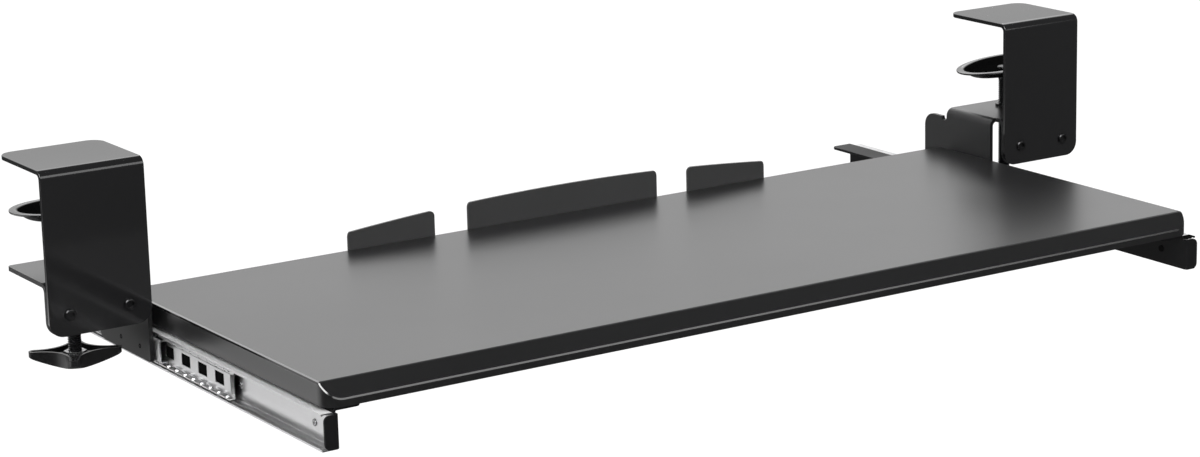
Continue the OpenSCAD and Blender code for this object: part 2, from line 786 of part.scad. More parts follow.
upper_jaw(LEFT);  // left_upper_jaw
upper_jaw(RIGHT);  // right_upper_jaw
hanger(LEFT);  // left_hanger
hanger(RIGHT);  // right_hanger
jaw_bolts(LEFT);  // left_jaw_bolts
jaw_bolts(RIGHT);  // right_jaw_bolts
jaw_nuts(LEFT);  // left_jaw_nuts
jaw_nuts(RIGHT);  // right_jaw_nuts
screw_bush(LEFT);  // left_screw_bush
screw_bush(RIGHT);  // right_screw_bush
inner_rail(LEFT);  // left_inner_rail
inner_rail(RIGHT);  // right_inner_rail
inner_rivets(LEFT);  // left_inner_rivets
inner_rivets(RIGHT);  // right_inner_rivets
tray_board();
rear_stop();
rear_stop_screws();
rail_bracket(LEFT);  // left_rail_bracket
rail_bracket(RIGHT);  // right_rail_bracket
bracket_screws(LEFT);  // left_bracket_screws
bracket_screws(RIGHT);  // right_bracket_screws
outer_rail(LEFT);  // left_outer_rail
outer_rail(RIGHT);  // right_outer_rail
outer_rivets(LEFT);  // left_outer_rivets
outer_rivets(RIGHT);  // right_outer_rivets
ball_cage(LEFT);  // left_ball_cage
ball_cage(RIGHT);  // right_ball_cage
balls(LEFT);  // left_balls
balls(RIGHT);  // right_balls
clamp_pad(LEFT);  // left_clamp_pad
clamp_pad(RIGHT);  // right_clamp_pad
clamp_screw(LEFT);  // left_clamp_screw
clamp_screw(RIGHT);  // right_clamp_screw
clamp_handle(LEFT);  // left_clamp_handle
clamp_handle(RIGHT);  // right_clamp_handle
handle_nut(LEFT);  // left_handle_nut
handle_nut(RIGHT);  // right_handle_nut
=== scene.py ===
"""Looks of the clamp-on keyboard tray: modelled sheet metal, board, clamp screws and finishes.

Lengths in the classes below are millimetres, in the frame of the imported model; Bench turns them into metres.
"""
import json
import logging
import math
from dataclasses import dataclass, field, replace
from enum import Enum
from typing import Any, Callable, Iterable, Sequence

import bmesh
import bpy
from mathutils import Matrix, Vector

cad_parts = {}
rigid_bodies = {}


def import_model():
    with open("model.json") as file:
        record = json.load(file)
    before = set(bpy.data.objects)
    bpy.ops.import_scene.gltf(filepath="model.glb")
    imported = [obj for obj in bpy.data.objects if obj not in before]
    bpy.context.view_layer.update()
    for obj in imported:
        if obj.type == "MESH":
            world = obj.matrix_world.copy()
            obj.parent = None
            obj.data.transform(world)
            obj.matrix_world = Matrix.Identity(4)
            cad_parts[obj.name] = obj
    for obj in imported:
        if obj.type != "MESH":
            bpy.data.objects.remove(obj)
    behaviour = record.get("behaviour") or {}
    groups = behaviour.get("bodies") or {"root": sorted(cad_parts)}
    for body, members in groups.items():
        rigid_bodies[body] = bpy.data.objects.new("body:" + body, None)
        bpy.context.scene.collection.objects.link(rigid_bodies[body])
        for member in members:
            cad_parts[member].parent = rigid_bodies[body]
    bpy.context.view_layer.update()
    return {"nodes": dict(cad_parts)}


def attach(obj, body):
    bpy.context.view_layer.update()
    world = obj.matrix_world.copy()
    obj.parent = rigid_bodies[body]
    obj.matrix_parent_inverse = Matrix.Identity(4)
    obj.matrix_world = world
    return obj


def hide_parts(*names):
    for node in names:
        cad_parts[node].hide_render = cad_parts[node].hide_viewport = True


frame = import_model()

LOG = logging.getLogger("keyboard_tray")
MM = 0.001
TOUCH = 0.02
WHITE = (1.0, 1.0, 1.0, 1.0)
Point = Sequence[float]
Span = tuple[float, float]
Colour = tuple[float, float, float]
Test = Callable[[Vector], bool]


class Side(Enum):
    """The two ends of the tray, by the sign of x."""

    LEFT = -1
    RIGHT = 1

    @property
    def prefix(self) -> str:
        """Start of this side's node names."""
        return self.name.lower() + "_"


class Pick(Enum):
    """What a selection in edit mode is made of."""

    VERTS = "VERT"
    EDGES = "EDGE"
    FACES = "FACE"


class Axis(Enum):
    """Axes of the frame."""

    X = 0
    Y = 1
    Z = 2

    @property
    def vector(self) -> Vector:
        """Unit vector along this axis."""
        return Vector([1.0 if i == self.value else 0.0 for i in range(3)])

    @property
    def turn(self) -> tuple[float, float, float]:
        """Rotation that lays the z axis along this one."""
        quarter = math.pi / 2
        return {Axis.X: (0.0, quarter, 0.0), Axis.Y: (quarter, 0.0, 0.0), Axis.Z: (0.0, 0.0, 0.0)}[self]


def near(value: float, target: float, within: float = TOUCH) -> bool:
    """Whether two lengths in millimetres agree."""
    return abs(value - target) <= within


def metres(point: Point) -> list[float]:
    """A place or size in millimetres, turned into metres."""
    return [c * MM for c in point]


class Bench:
    """One piece on the work bench: a mesh that is shaped with Blender's own operators."""

    def __init__(self, name: str) -> None:
        """Takes the object that an operator has just added and names it.

        Args:
            name: Name of the piece.
        """
        self.obj: bpy.types.Object = bpy.context.object
        self.obj.name = name
        self.obj.data.name = name

    @staticmethod
    def clear() -> None:
        """Leaves edit mode and deselects every object."""
        if bpy.context.object and bpy.context.object.mode != "OBJECT":
            bpy.ops.object.mode_set(mode="OBJECT")
        for obj in bpy.data.objects:
            obj.select_set(False)

    @classmethod
    def _added(cls, name: str, size: Point = (1, 1, 1)) -> "Bench":
        """Scales the object that an operator has just added, and takes it on the bench."""
        bpy.context.object.scale = size
        bpy.ops.object.transform_apply(location=True, rotation=True, scale=True)
        return cls(name)

    @classmethod
    def box(cls, name: str, low: Point, high: Point) -> "Bench":
        """Adds a cube between two corners.

        Args:
            name: Name of the piece.
            low: Lowest corner.
            high: Highest corner.

        Returns:
            The bench with the new piece.
        """
        cls.clear()
        mid = [(a + b) / 2 * MM for a, b in zip(low, high)]
        bpy.ops.mesh.primitive_cube_add(size=1, location=mid)
        return cls._added(name, [abs(b - a) * MM for a, b in zip(low, high)])

    @classmethod
    def plane(cls, name: str, across: Axis, low: Point, high: Point) -> "Bench":
        """Adds a flat sheet between two corners that share one coordinate.

        Args:
            name: Name of the piece.
            across: Axis that the sheet stands across.
            low: One corner.
            high: The opposite corner.

        Returns:
            The bench with the new piece.
        """
        cls.clear()
        mid = [(a + b) / 2 * MM for a, b in zip(low, high)]
        size = [abs(b - a) * MM for a, b in zip(low, high)]
        wide, deep = {Axis.X: (2, 1), Axis.Y: (0, 2), Axis.Z: (0, 1)}[across]
        bpy.ops.mesh.primitive_plane_add(size=1, location=mid, rotation=across.turn)
        return cls._added(name, (size[wide], size[deep], 1))

    @classmethod
    def cylinder(
        cls, name: str, along: Axis, centre: Point, radius: float, depth: float, sides: int = 48
    ) -> "Bench":
        """Adds a cylinder.

        Args:
            name: Name of the piece.
            along: Axis of the cylinder.
            centre: Middle of the cylinder.
            radius: Radius to its corners.
            depth: Length along the axis.
            sides: Number of faces round it.

        Returns:
            The bench with the new piece.
        """
        cls.clear()
        bpy.ops.mesh.primitive_cylinder_add(
            vertices=sides, radius=radius * MM, depth=depth * MM, location=metres(centre), rotation=along.turn
        )
        return cls._added(name)

    @classmethod
    def sphere(cls, name: str, centre: Point, radius: float, sides: int = 128) -> "Bench":
        """Adds a sphere.

        Args:
            name: Name of the piece.
            centre: Its middle.
            radius: Its radius.
            sides: Number of faces round it.

        Returns:
            The bench with the new piece.
        """
        cls.clear()
        bpy.ops.mesh.primitive_uv_sphere_add(
            segments=sides, ring_count=sides // 2, radius=radius * MM, location=metres(centre)
        )
        return cls._added(name)

    def _edit(self) -> None:
        """Makes this piece the only selected one and opens it in edit mode."""
        if bpy.context.object is not self.obj or self.obj.mode != "EDIT":
            self._close()
            bpy.ops.object.mode_set(mode="EDIT")

    def _close(self) -> None:
        """Returns to object mode with only this piece selected."""
        self.clear()
        self.obj.select_set(True)
        bpy.context.view_layer.objects.active = self.obj

    def pick(self, kind: Pick, test: Test) -> "Bench":
        """Selects what lies where a test says.

        Args:
            kind: Vertices, edges or faces.
            test: True for a corner, in millimetres, that belongs to the selection.

        Returns:
            This bench.
        """
        self._edit()
        bpy.context.tool_settings.mesh_select_mode = tuple(kind is k for k in Pick)
        mesh = bmesh.from_edit_mesh(self.obj.data)
        for group in (mesh.faces, mesh.edges, mesh.verts):
            for part in group:
                part.select = False
        group = {Pick.VERTS: mesh.verts, Pick.EDGES: mesh.edges, Pick.FACES: mesh.faces}[kind]
        found = 0
        for part in group:
            corners = [part] if kind is Pick.VERTS else part.verts
            if all(test(v.co / MM) for v in corners):
                part.select = True
                found += 1
        mesh.select_flush_mode()
        bmesh.update_edit_mesh(self.obj.data)
        if not found:
            raise ValueError(f"{self.obj.name}: nothing to select")
        return self

    def everything(self) -> "Bench":
        """Selects the whole mesh."""
        self._edit()
        bpy.ops.mesh.select_all(action="SELECT")
        return self

    def extrude(self, way: Point) -> "Bench":
        """Extrudes the selection by a vector in millimetres."""
        bpy.ops.mesh.extrude_region_move(TRANSFORM_OT_translate={"value": metres(way)})
        return self

    def bend(self, centre: Point, about: Axis, degrees: float, steps: int = 8) -> "Bench":
        """Sweeps the selected edge round an axis, as a press brake would.

        Args:
            centre: A point on the axis of the bend.
            about: Axis of the bend.
            degrees: Angle by the right-hand rule.
            steps: Faces round the bend.

        Returns:
            This bench.
        """
        bpy.ops.mesh.spin(
            steps=steps, angle=-math.radians(degrees), center=metres(centre), axis=about.vector
        )
        return self

    def move(self, way: Point) -> "Bench":
        """Moves the selection by a vector in millimetres."""
        bpy.ops.transform.translate(value=metres(way))
        return self

    def tilt(self, degrees: float, about: Axis, centre: Point) -> "Bench":
        """Turns the whole piece about an axis through a point, by the right-hand rule."""
        self.everything()
        bpy.ops.transform.rotate(
            value=-math.radians(degrees), orient_axis=about.name, center_override=metres(centre)
        )
        return self

    def inset(self, width: float) -> "Bench":
        """Insets the selected faces by a width in millimetres."""
        bpy.ops.mesh.inset(thickness=width * MM, use_even_offset=True)
        return self

    def _round(self, what: str, radius: float, steps: int) -> "Bench":
        """Rounds the selected VERTICES or EDGES."""
        bpy.ops.mesh.bevel(offset=radius * MM, segments=steps, affect=what, profile=0.5, clamp_overlap=False)
        return self

    def round_corners(self, radius: float, steps: int) -> "Bench":
        """Rounds the selected corners of a flat sheet."""
        return self._round("VERTICES", radius, steps)

    def round_edges(self, radius: float, steps: int) -> "Bench":
        """Rounds the selected edges of a solid."""
        return self._round("EDGES", radius, steps)

    def drop(self) -> "Bench":
        """Deletes the selected corners."""
        bpy.ops.mesh.delete(type="VERT")
        return self

    def divide(self, cuts: int) -> "Bench":
        """Divides the selected edges."""
        bpy.ops.mesh.subdivide(number_cuts=cuts)
        return self

    def spin(self, centre: Point, steps: int = 96) -> "Bench":
        """Turns the whole outline once round an upright axis through a point."""
        self.everything()
        bpy.ops.mesh.spin(steps=steps, angle=2 * math.pi, center=metres(centre), axis=(0, 0, 1))
        return self

    def coil(self, pitch: float, turns: int, steps: int = 20) -> "Bench":
        """Winds the outline up the frame's own z axis, as a thread.

        Args:
            pitch: Rise of one turn.
            turns: Number of turns.
            steps: Faces in one turn.

        Returns:
            This bench.
        """
        return self._apply(
            "SCREW", axis="Z", angle=2 * math.pi, screw_offset=pitch * MM, iterations=turns, steps=steps,
            render_steps=steps, use_merge_vertices=True, merge_threshold=1e-6,
        )

    def slice(self, through: Point, facing: Point, drop: bool = False) -> "Bench":
        """Cuts the mesh along a plane.

        Args:
            through: A point on the plane.
            facing: Direction that the plane faces.
            drop: Whether what lies on the facing side is cut off and the cut closed.

        Returns:
            This bench.
        """
        self.everything()
        bpy.ops.mesh.bisect(
            plane_co=metres(through), plane_no=facing, clear_outer=drop, use_fill=drop,
            threshold=1e-7,
        )
        return self

    def tidy(self) -> "Bench":
        """Merges doubles and turns all faces outwards."""
        self.everything()
        bpy.ops.mesh.remove_doubles(threshold=1e-6)
        bpy.ops.mesh.normals_make_consistent(inside=False)
        self._close()
        return self

    def _apply(self, kind: str, **settings: Any) -> "Bench":
        """Adds a modifier with these settings and applies it."""
        self._close()
        modifier = self.obj.modifiers.new(kind.title(), kind)
        for key, value in settings.items():
            setattr(modifier, key, value)
        bpy.ops.object.modifier_apply(modifier=modifier.name)
        return self

    def thicken(self, gauge: float, from_face: Point, towards: Point) -> "Bench":
        """Gives a sheet its thickness on one side.

        Args:
            gauge: Thickness.
            from_face: A point on or near one face of the sheet.
            towards: Direction in which the metal lies from that face.

        Returns:
            This bench.
        """
        self.tidy()
        spot = Vector(from_face) * MM
        face = min(self.obj.data.polygons, key=lambda p: (p.center - spot).length)
        way = 1.0 if face.normal.dot(Vector(towards)) > 0 else -1.0
        self._apply(
            "SOLIDIFY", thickness=gauge * MM, offset=way, use_even_offset=True, use_quality_normals=True
        )
        return self.tidy()

    def _combine(self, operation: str, tools: Iterable["Bench"]) -> "Bench":
        """Combines other pieces with this one by a boolean, and removes them."""
        for tool in tools:
            self._apply("BOOLEAN", operation=operation, solver="EXACT", object=tool.tidy().obj)
            bpy.data.objects.remove(tool.obj)
        return self.tidy()

    def cut(self, *tools: "Bench") -> "Bench":
        """Cuts other pieces out of this one."""
        return self._combine("DIFFERENCE", tools)

    def keep_inside(self, tool: "Bench") -> "Bench":
        """Keeps what lies inside another piece."""
        return self._combine("INTERSECT", [tool])

    def weld(self, *others: "Bench") -> "Bench":
        """Unites other pieces with this one."""
        return self._combine("UNION", others)

    def join(self, others: Iterable["Bench"]) -> "Bench":
        """Joins other pieces to this one as they are."""
        self._close()
        for other in others:
            other.obj.select_set(True)
        bpy.ops.object.join()
        return self

    def copy(self, name: str, shift: Point) -> "Bench":
        """Copies this piece, with a mesh of its own, to another place.

        Args:
            name: Name of the copy.
            shift: Way from this piece to the copy.

        Returns:
            The bench with the copy.
        """
        self._close()
        bpy.ops.object.duplicate(linked=False)
        twin = Bench(name)
        twin.everything().move(shift)
        twin._close()
        return twin

    def soften(self, width: float, steps: int = 2, angle: float = 50) -> "Bench":
        """Breaks every sharp edge with a small rounded bevel.

        Args:
            width: Width of the bevel.
            steps: Faces across it.
            angle: Smallest angle of an edge that is broken, in degrees.

        Returns:
            This bench.
        """
        return self._apply(
            "BEVEL", width=width * MM, segments=steps, limit_method="ANGLE", angle_limit=math.radians(angle),
            use_clamp_overlap=True, harden_normals=False, miter_outer="MITER_ARC",
        )

    def done(self, finish: "Finish", body: str, *nodes: str, smooth: float = 35) -> bpy.types.Object:
        """Dresses the piece and lets it ride on its body in place of its solids.

        Args:
            finish: Finish of the surface.
            body: Body that carries the piece.
            nodes: Nodes that the piece stands for.
            smooth: Angle up to which faces are shaded as one, in degrees.

        Returns:
            The finished object.
        """
        self._close()
        bpy.ops.object.shade_smooth_by_angle(angle=math.radians(smooth), keep_sharp_edges=False)
        self._apply("WEIGHTED_NORMAL", mode="FACE_AREA", weight=50, keep_sharp=True)
        self.obj.data.materials.clear()
        self.obj.data.materials.append(finish.material())
        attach(self.obj, body)
        if nodes:
            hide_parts(*nodes)
        LOG.info("%s: %d faces, rides on %s", self.obj.name, len(self.obj.data.polygons), body)
        return self.obj


class Wire:
    """A value in a shader graph; arithmetic on it adds Math nodes."""

    def __init__(self, graph: "Graph", socket: bpy.types.NodeSocket) -> None:
        """Wraps an output socket of a graph."""
        self.graph = graph
        self.socket = socket

    def _math(self, operation: str, a: Any, b: Any) -> "Wire":
        """Adds one Math node for two values."""
        return self.graph.node("ShaderNodeMath", {"operation": operation}, {0: a, 1: b})

    def __add__(self, other: Any) -> "Wire":
        """Sum with a value or number."""
        return self._math("ADD", self, other)

    def __sub__(self, other: Any) -> "Wire":
        """Difference from a value or number."""
        return self._math("SUBTRACT", self, other)

    def __rsub__(self, other: Any) -> "Wire":
        """Difference of a number and this value."""
        return self._math("SUBTRACT", other, self)

    def __mul__(self, other: Any) -> "Wire":
        """Product with a value or number."""
        return self._math("MULTIPLY", self, other)

    def __pow__(self, other: Any) -> "Wire":
        """Power of this value."""
        return self._math("POWER", self, other)

    def at_least(self, other: Any) -> "Wire":
        """The larger of two values."""
        return self._math("MAXIMUM", self, other)

    def above(self, other: Any) -> "Wire":
        """1 where this value is the larger one, and 0 elsewhere."""
        return self._math("GREATER_THAN", self, other)

    def ramp(self, low: float, high: float) -> "Wire":
        """Smooth step from 0 to 1 between two values, or from 1 to 0 where the first is the larger."""
        return self.graph.node("ShaderNodeMapRange", {"interpolation_type": "SMOOTHSTEP"}, {
            "Value": self, "From Min": low, "From Max": high,
        })


class Graph:
    """A node tree that is filled by calls."""

    def __init__(self, tree: bpy.types.NodeTree) -> None:
        """Takes over a tree and empties it."""
        self.tree = tree
        tree.nodes.clear()

    def node(
        self, kind: str, settings: dict[str, Any] | None = None, inputs: dict[Any, Any] | None = None,
        output: Any = 0,
    ) -> Wire:
        """Adds a node.

        Args:
            kind: Type of the node.
            settings: Its properties, set before its sockets.
            inputs: Values or wires, by name or number of the socket.
            output: Name or number of the output that is returned.

        Returns:
            The chosen output.
        """
        node = self.tree.nodes.new(kind)
        for key, value in (settings or {}).items():
            setattr(node, key, value)
        for key, value in (inputs or {}).items():
            if isinstance(value, Wire):
                self.tree.links.new(value.socket, node.inputs[key])
            else:
                node.inputs[key].default_value = value
        return Wire(self, node.outputs[output]) if len(node.outputs) else Wire(self, None)

    def place(self, scale: Point = (1.0, 1.0, 1.0)) -> Wire:
        """Object coordinates in metres, stretched by a factor on each axis."""
        where = self.node("ShaderNodeTexCoord", output="Object")
        return self.node("ShaderNodeMapping", {}, {"Vector": where, "Scale": scale})

    def part(self, vector: Wire, axis: Axis) -> Wire:
        """One coordinate of a vector."""
        return self.node("ShaderNodeSeparateXYZ", {}, {0: vector}, output=axis.name)

    def facing(self, axis: Axis) -> Wire:
        """How far the surface faces along an axis, from -1 to 1."""
        return self.part(self.node("ShaderNodeNewGeometry", output="Normal"), axis)

    def ray(self, kind: str) -> Wire:
        """1 for rays of a kind and 0 for others."""
        return self.node("ShaderNodeLightPath", output=f"Is {kind} Ray")

    def noise(self, scale: float, detail: float, stretch: Point = (1.0, 1.0, 1.0)) -> Wire:
        """Smooth noise between 0 and 1.

        Args:
            scale: Waves per metre.
            detail: Octaves.
            stretch: Factor on each axis.

        Returns:
            The noise value.
        """
        return self.node("ShaderNodeTexNoise", {"noise_dimensions": "3D"}, {
            "Vector": self.place(stretch), "Scale": scale, "Detail": detail,
        })

    def cells(self, scale: float) -> Wire:
        """Distance to the nearest of scattered points, for pebbled surfaces."""
        return self.node("ShaderNodeTexVoronoi", {"feature": "SMOOTH_F1"}, {
            "Vector": self.place(), "Scale": scale, "Smoothness": 0.6,
        })

    def blend(self, amount: Wire, first: Point, second: Point) -> Wire:
        """Mixes two colours by a value between 0 and 1."""
        return self.node("ShaderNodeMix", {"data_type": "RGBA"}, {
            0: amount, 6: (*first, 1.0), 7: (*second, 1.0),
        }, output=2)

    def bump(self, height: Wire, depth: float) -> Wire:
        """Turns a height into a normal; depth is the height of 1 in metres."""
        return self.node("ShaderNodeBump", {}, {"Height": height, "Distance": depth, "Strength": 1.0})


# Colours of the matt black film; on the ball cage the film is painted shade.
BLACK_FILM_AND_SHADE: tuple[Colour, Colour] = ((0.004, 0.004, 0.004), (0.010, 0.010, 0.010))


@dataclass(frozen=True)
class Finish:
    """A surface finish of the part.

    Attributes:
        slot: Name of the record's material slot.
        dark: Darker of the two base colours.
        light: Lighter of the two base colours.
        rough: Roughness at its smoothest.
        rough_span: How much rougher it gets in places.
        label: Start of the material's name, where it isn't the slot's.
    """

    slot: str
    dark: Colour
    light: Colour
    rough: float
    rough_span: float
    label: str = ""

    def material(self) -> bpy.types.Material:
        """Makes the finish's material the first time, and returns it.

        Returns:
            The material of this finish.
        """
        name = f"{self.label or self.slot}_finish"
        found = bpy.data.materials.get(name)
        if found:
            return found
        material = bpy.data.materials.new(name)
        material.use_nodes = True
        graph = Graph(material.node_tree)
        surface = graph.node("ShaderNodeBsdfPrincipled", {}, self.sockets(graph))
        matt = self.matt(graph)
        if matt is not None:
            # On the ball cage this black film is painted shade.
            black = graph.blend(graph.noise(500.0, 2.0), *BLACK_FILM_AND_SHADE)
            film = graph.node("ShaderNodeBsdfDiffuse", {}, {"Color": black})
            surface = graph.node("ShaderNodeMixShader", {}, {0: matt, 1: surface, 2: film})
        graph.node("ShaderNodeOutputMaterial", {}, {"Surface": surface})
        return material

    def matt(self, graph: Graph) -> Wire | None:
        """Where a matt black film covers the finish.

        Args:
            graph: Node tree of the material.

        Returns:
            1 under the film and 0 elsewhere, or None where there is no film.
        """
        return None

    def sockets(self, graph: Graph) -> dict[str, Any]:
        """What feeds the shader's sockets.

        Args:
            graph: Node tree of the material.

        Returns:
            Values and wires by socket name.
        """
        raise NotImplementedError


@dataclass(frozen=True)
class PowderCoat(Finish):
    """Baked coat on sheet steel, with a fine orange peel.

    Attributes:
        peel: Waves of the peel per metre.
        depth: Depth of the peel in metres.
        sheen: Strength of the mirror image, 0.5 for a full gloss.
        side_rough: How much rougher the faces are that look to the left.
    """

    peel: float = 420.0
    depth: float = 0.000005
    sheen: float = 0.5
    side_rough: float = 0.0

    def sockets(self, graph: Graph) -> dict[str, Any]:
        """Colour, gloss and peel of the coat."""
        peel = graph.noise(self.peel, 2.0)
        clouds = graph.noise(18.0, 3.0)
        specks = graph.noise(2600.0, 1.0)
        left = graph.facing(Axis.X).ramp(-0.5, -0.9)
        return {
            "Base Color": graph.blend(clouds * 0.6 + specks * 0.4, self.dark, self.light),
            "Roughness": clouds * self.rough_span + left * self.side_rough + self.rough,
            "Specular IOR Level": self.sheen,
            "Normal": graph.bump(peel * 0.8 + specks * 0.2, self.depth),
        }


@dataclass(frozen=True)
class Laminate(Finish):
    """Satin foil on fibreboard, with a fine pebble grain.

    Attributes:
        grain: Pebbles per metre.
        depth: Depth of the grain in metres.
        arris: Distance from the middle and height, in metres, beyond which the side edges are rubbed smooth.
    """

    grain: float = 900.0
    depth: float = 0.000004
    arris: Span = (0.3427, -0.1017)

    def sockets(self, graph: Graph) -> dict[str, Any]:
        """Colour, gloss and grain of the foil."""
        pebble = graph.cells(self.grain)
        clouds = graph.noise(7.0, 4.0)
        fine = graph.noise(1500.0, 2.0)
        place = graph.place()
        across, height = graph.part(place, Axis.X), graph.part(place, Axis.Z)
        up = graph.facing(Axis.Z)
        nose = up.above(0.2) * (1 - up.above(0.62))
        rubbed = ((across * across).above(self.arris[0] ** 2) * height.above(self.arris[1])).at_least(nose)
        satin = clouds * self.rough_span + fine * 0.05 + self.rough
        return {
            "Base Color": graph.blend(fine * 0.7 + clouds * 0.3, self.dark, self.light),
            "Roughness": satin * (1 - rubbed * 0.6),
            "Specular IOR Level": 0.5,
            "Coat Weight": rubbed * 0.5,
            "Coat Roughness": 0.12,
            "Normal": graph.bump(pebble * 0.7 + fine * 0.3, self.depth),
        }


@dataclass(frozen=True)
class ZincSheet(Finish):
    """Plated sheet with drawing marks along the slide, soft spangle and painted light on upward faces high up;
    where set, a black film covers its inner side as painted shade, and its front end.

    Attributes:
        streaks: Marks per metre across the rolling direction.
        depth: Depth of the marks in metres.
        grease_x: Distance from the middle of the tray up to which a black film of painted shade covers the
            sheet.
        cap_y: Place along the depth, in metres, in front of which a black film covers the sheet.
        dull_z: Height in metres above which faces that look up are made matt and whitish, painted light for
            the bright tops of the upper flanges.
        pale: Colour of those faces: painted light.
    """

    streaks: float = 900.0
    depth: float = 0.000004
    grease_x: float = 0.0
    cap_y: float = -9.0
    dull_z: float = -0.1205
    pale: Colour = (0.82, 0.82, 0.825)

    def sockets(self, graph: Graph) -> dict[str, Any]:
        """Colour, gloss, drawing marks and grease of the plating."""
        marks = graph.noise(self.streaks, 3.0, (1.0, 0.02, 1.0))
        spangle = graph.noise(90.0, 2.0)
        height = graph.part(graph.place(), Axis.Z)
        # Painted light: upward faces high on the rails get a whitish matt colour that stands in for the bright
        # tops of the upper flanges beside the board.
        dull = graph.facing(Axis.Z).ramp(0.3, 0.8) * height.above(self.dull_z)
        share = (self.light[0] - self.dark[0]) / (self.pale[0] - self.dark[0])
        return {
            "Base Color": graph.blend(((spangle + marks) * 0.5 * share).at_least(dull), self.dark, self.pale),
            "Metallic": 1 - dull * 0.9,
            "Roughness": (marks * self.rough_span + spangle * 0.08 + self.rough).at_least(dull * 0.7),
            "Normal": graph.bump(marks, self.depth),
        }

    def matt(self, graph: Graph) -> Wire | None:
        """Black film of painted shade on the side towards the middle of the tray, and black film over the
        front end.
        """
        if not self.grease_x and self.cap_y < -1:
            return None
        # Black film on the cage's inner side, painted shade, and over the rail's front end.
        place = graph.place()
        across, along = graph.part(place, Axis.X), graph.part(place, Axis.Y)
        return 1 - (across * across).above(self.grease_x**2) * along.above(self.cap_y)


@dataclass(frozen=True)
class BrightSteel(Finish):
    """Polished steel with faint handling marks.

    Attributes:
        marks: Marks per metre.
    """

    marks: float = 260.0

    def sockets(self, graph: Graph) -> dict[str, Any]:
        """Colour and gloss of the steel."""
        haze = graph.noise(self.marks, 3.0).ramp(0.3, 0.7)
        return {
            "Base Color": graph.blend(haze, self.dark, self.light),
            "Metallic": 1.0,
            "Roughness": haze * self.rough_span + self.rough,
            "Normal": graph.bump(graph.noise(1400.0, 2.0), 0.000004),
        }


@dataclass(frozen=True)
class SetRivet(BrightSteel):
    """Bright rivet whose inner head was coated with the bracket.

    Attributes:
        coated_x: Distance from the middle of the tray up to which the rivet is coated.
    """

    coated_x: float = 0.3385

    def matt(self, graph: Graph) -> Wire | None:
        """Coat on the head behind the bracket."""
        across = graph.part(graph.place(), Axis.X)
        return 1 - (across * across).above(self.coated_x**2)


@dataclass(frozen=True)
class BlackOxide(Finish):
    """Blackened steel: dark, with bare metal just showing through.

    Attributes:
        bare: Share of bare metal where least shows.
    """

    bare: float = 0.45

    def sockets(self, graph: Graph) -> dict[str, Any]:
        """Colour, metal and gloss of the oxide."""
        rub = graph.noise(320.0, 4.0)
        return {
            "Base Color": graph.blend(rub, self.dark, self.light),
            "Metallic": rub * 0.3 + self.bare,
            "Roughness": rub * self.rough_span + self.rough,
            "Normal": graph.bump(graph.noise(1800.0, 2.0), 0.00001),
        }


@dataclass(frozen=True)
class DullRivet(BlackOxide):
    """Blackened rivet with most of its face left dull."""

    def matt(self, graph: Graph) -> Wire | None:
        """Matt black film over nearly all of the head."""
        return graph.noise(700.0, 2.0) * 0.3 + 0.7


@dataclass(frozen=True)
class Enamel(Finish):
    """Stoved gloss enamel with a long, shallow ripple, and a matt black film in the bowl of each cup.

    Attributes:
        axis: Place of the right-hand cup's middle across the width and along the depth, in metres.
        lined_r: Radius of the matt black film in metres.
        fade: Factor on that radius at which the last of it ends.
    """

    axis: Span = (0.3906, 0.0415)
    lined_r: float = 0.0305
    fade: float = 1.06

    def matt(self, graph: Graph) -> Wire | None:
        """Matt black film on what faces up inside the rim."""
        place = graph.place()
        across, along = graph.part(place, Axis.X), graph.part(place, Axis.Y)
        x = (across * across) ** 0.5 - self.axis[0]
        y = along - self.axis[1]
        inside = (x * x + y * y).ramp((self.fade * self.lined_r) ** 2, self.lined_r**2)
        return inside * graph.facing(Axis.Z).above(0.0)

    def sockets(self, graph: Graph) -> dict[str, Any]:
        """Colour, gloss and ripple of the enamel."""
        ripple = graph.noise(140.0, 2.0)
        return {
            "Base Color": graph.blend(ripple, self.dark, self.light),
            "Roughness": ripple * self.rough_span + self.rough,
            "Coat Weight": ripple * 0.2 + 0.1,
            "Coat Roughness": 0.06,
            "Normal": graph.bump(ripple, 0.00002),
        }


@dataclass(frozen=True)
class MouldedPlastic(Finish):
    """Moulded plastic with a spark-eroded texture."""

    def sockets(self, graph: Graph) -> dict[str, Any]:
        """Colour, gloss and texture of the moulding."""
        spark = graph.cells(1300.0)
        flow = graph.noise(40.0, 3.0)
        return {
            "Base Color": graph.blend(flow, self.dark, self.light),
            "Roughness": flow * self.rough_span + self.rough,
            "Specular IOR Level": 0.34,
            "Normal": graph.bump(spark, 0.00001),
        }


PLATE = PowderCoat("coated_plate", (0.010, 0.010, 0.0105), (0.013, 0.013, 0.0135), 0.09, 0.03)
ANGLE = PowderCoat(
    "coated_plate", (0.004, 0.004, 0.0045), (0.007, 0.007, 0.0075), 0.46, 0.10, "angle_coat", sheen=0.18
)
HANGER = PowderCoat(
    "coated_plate", (0.010, 0.010, 0.0105), (0.014, 0.014, 0.0145), 0.27, 0.06, "hanger_coat", side_rough=0.25
)
# Painted light: the stop's base colour is lighter than the other coated plates, standing in for the lit board
# top reflected in its tabs.
STOP = PowderCoat("coated_plate", (0.034, 0.034, 0.0345), (0.044, 0.044, 0.0445), 0.32, 0.10, "stop_coat")
BOARD = Laminate("board_laminate", (0.007, 0.007, 0.0075), (0.012, 0.012, 0.0125), 0.25, 0.05)
ZINC = ZincSheet("zinc_sheet", (0.46, 0.46, 0.465), (0.58, 0.58, 0.585), 0.22, 0.14)
RAIL = replace(ZINC, label="capped_rail", cap_y=-0.212)
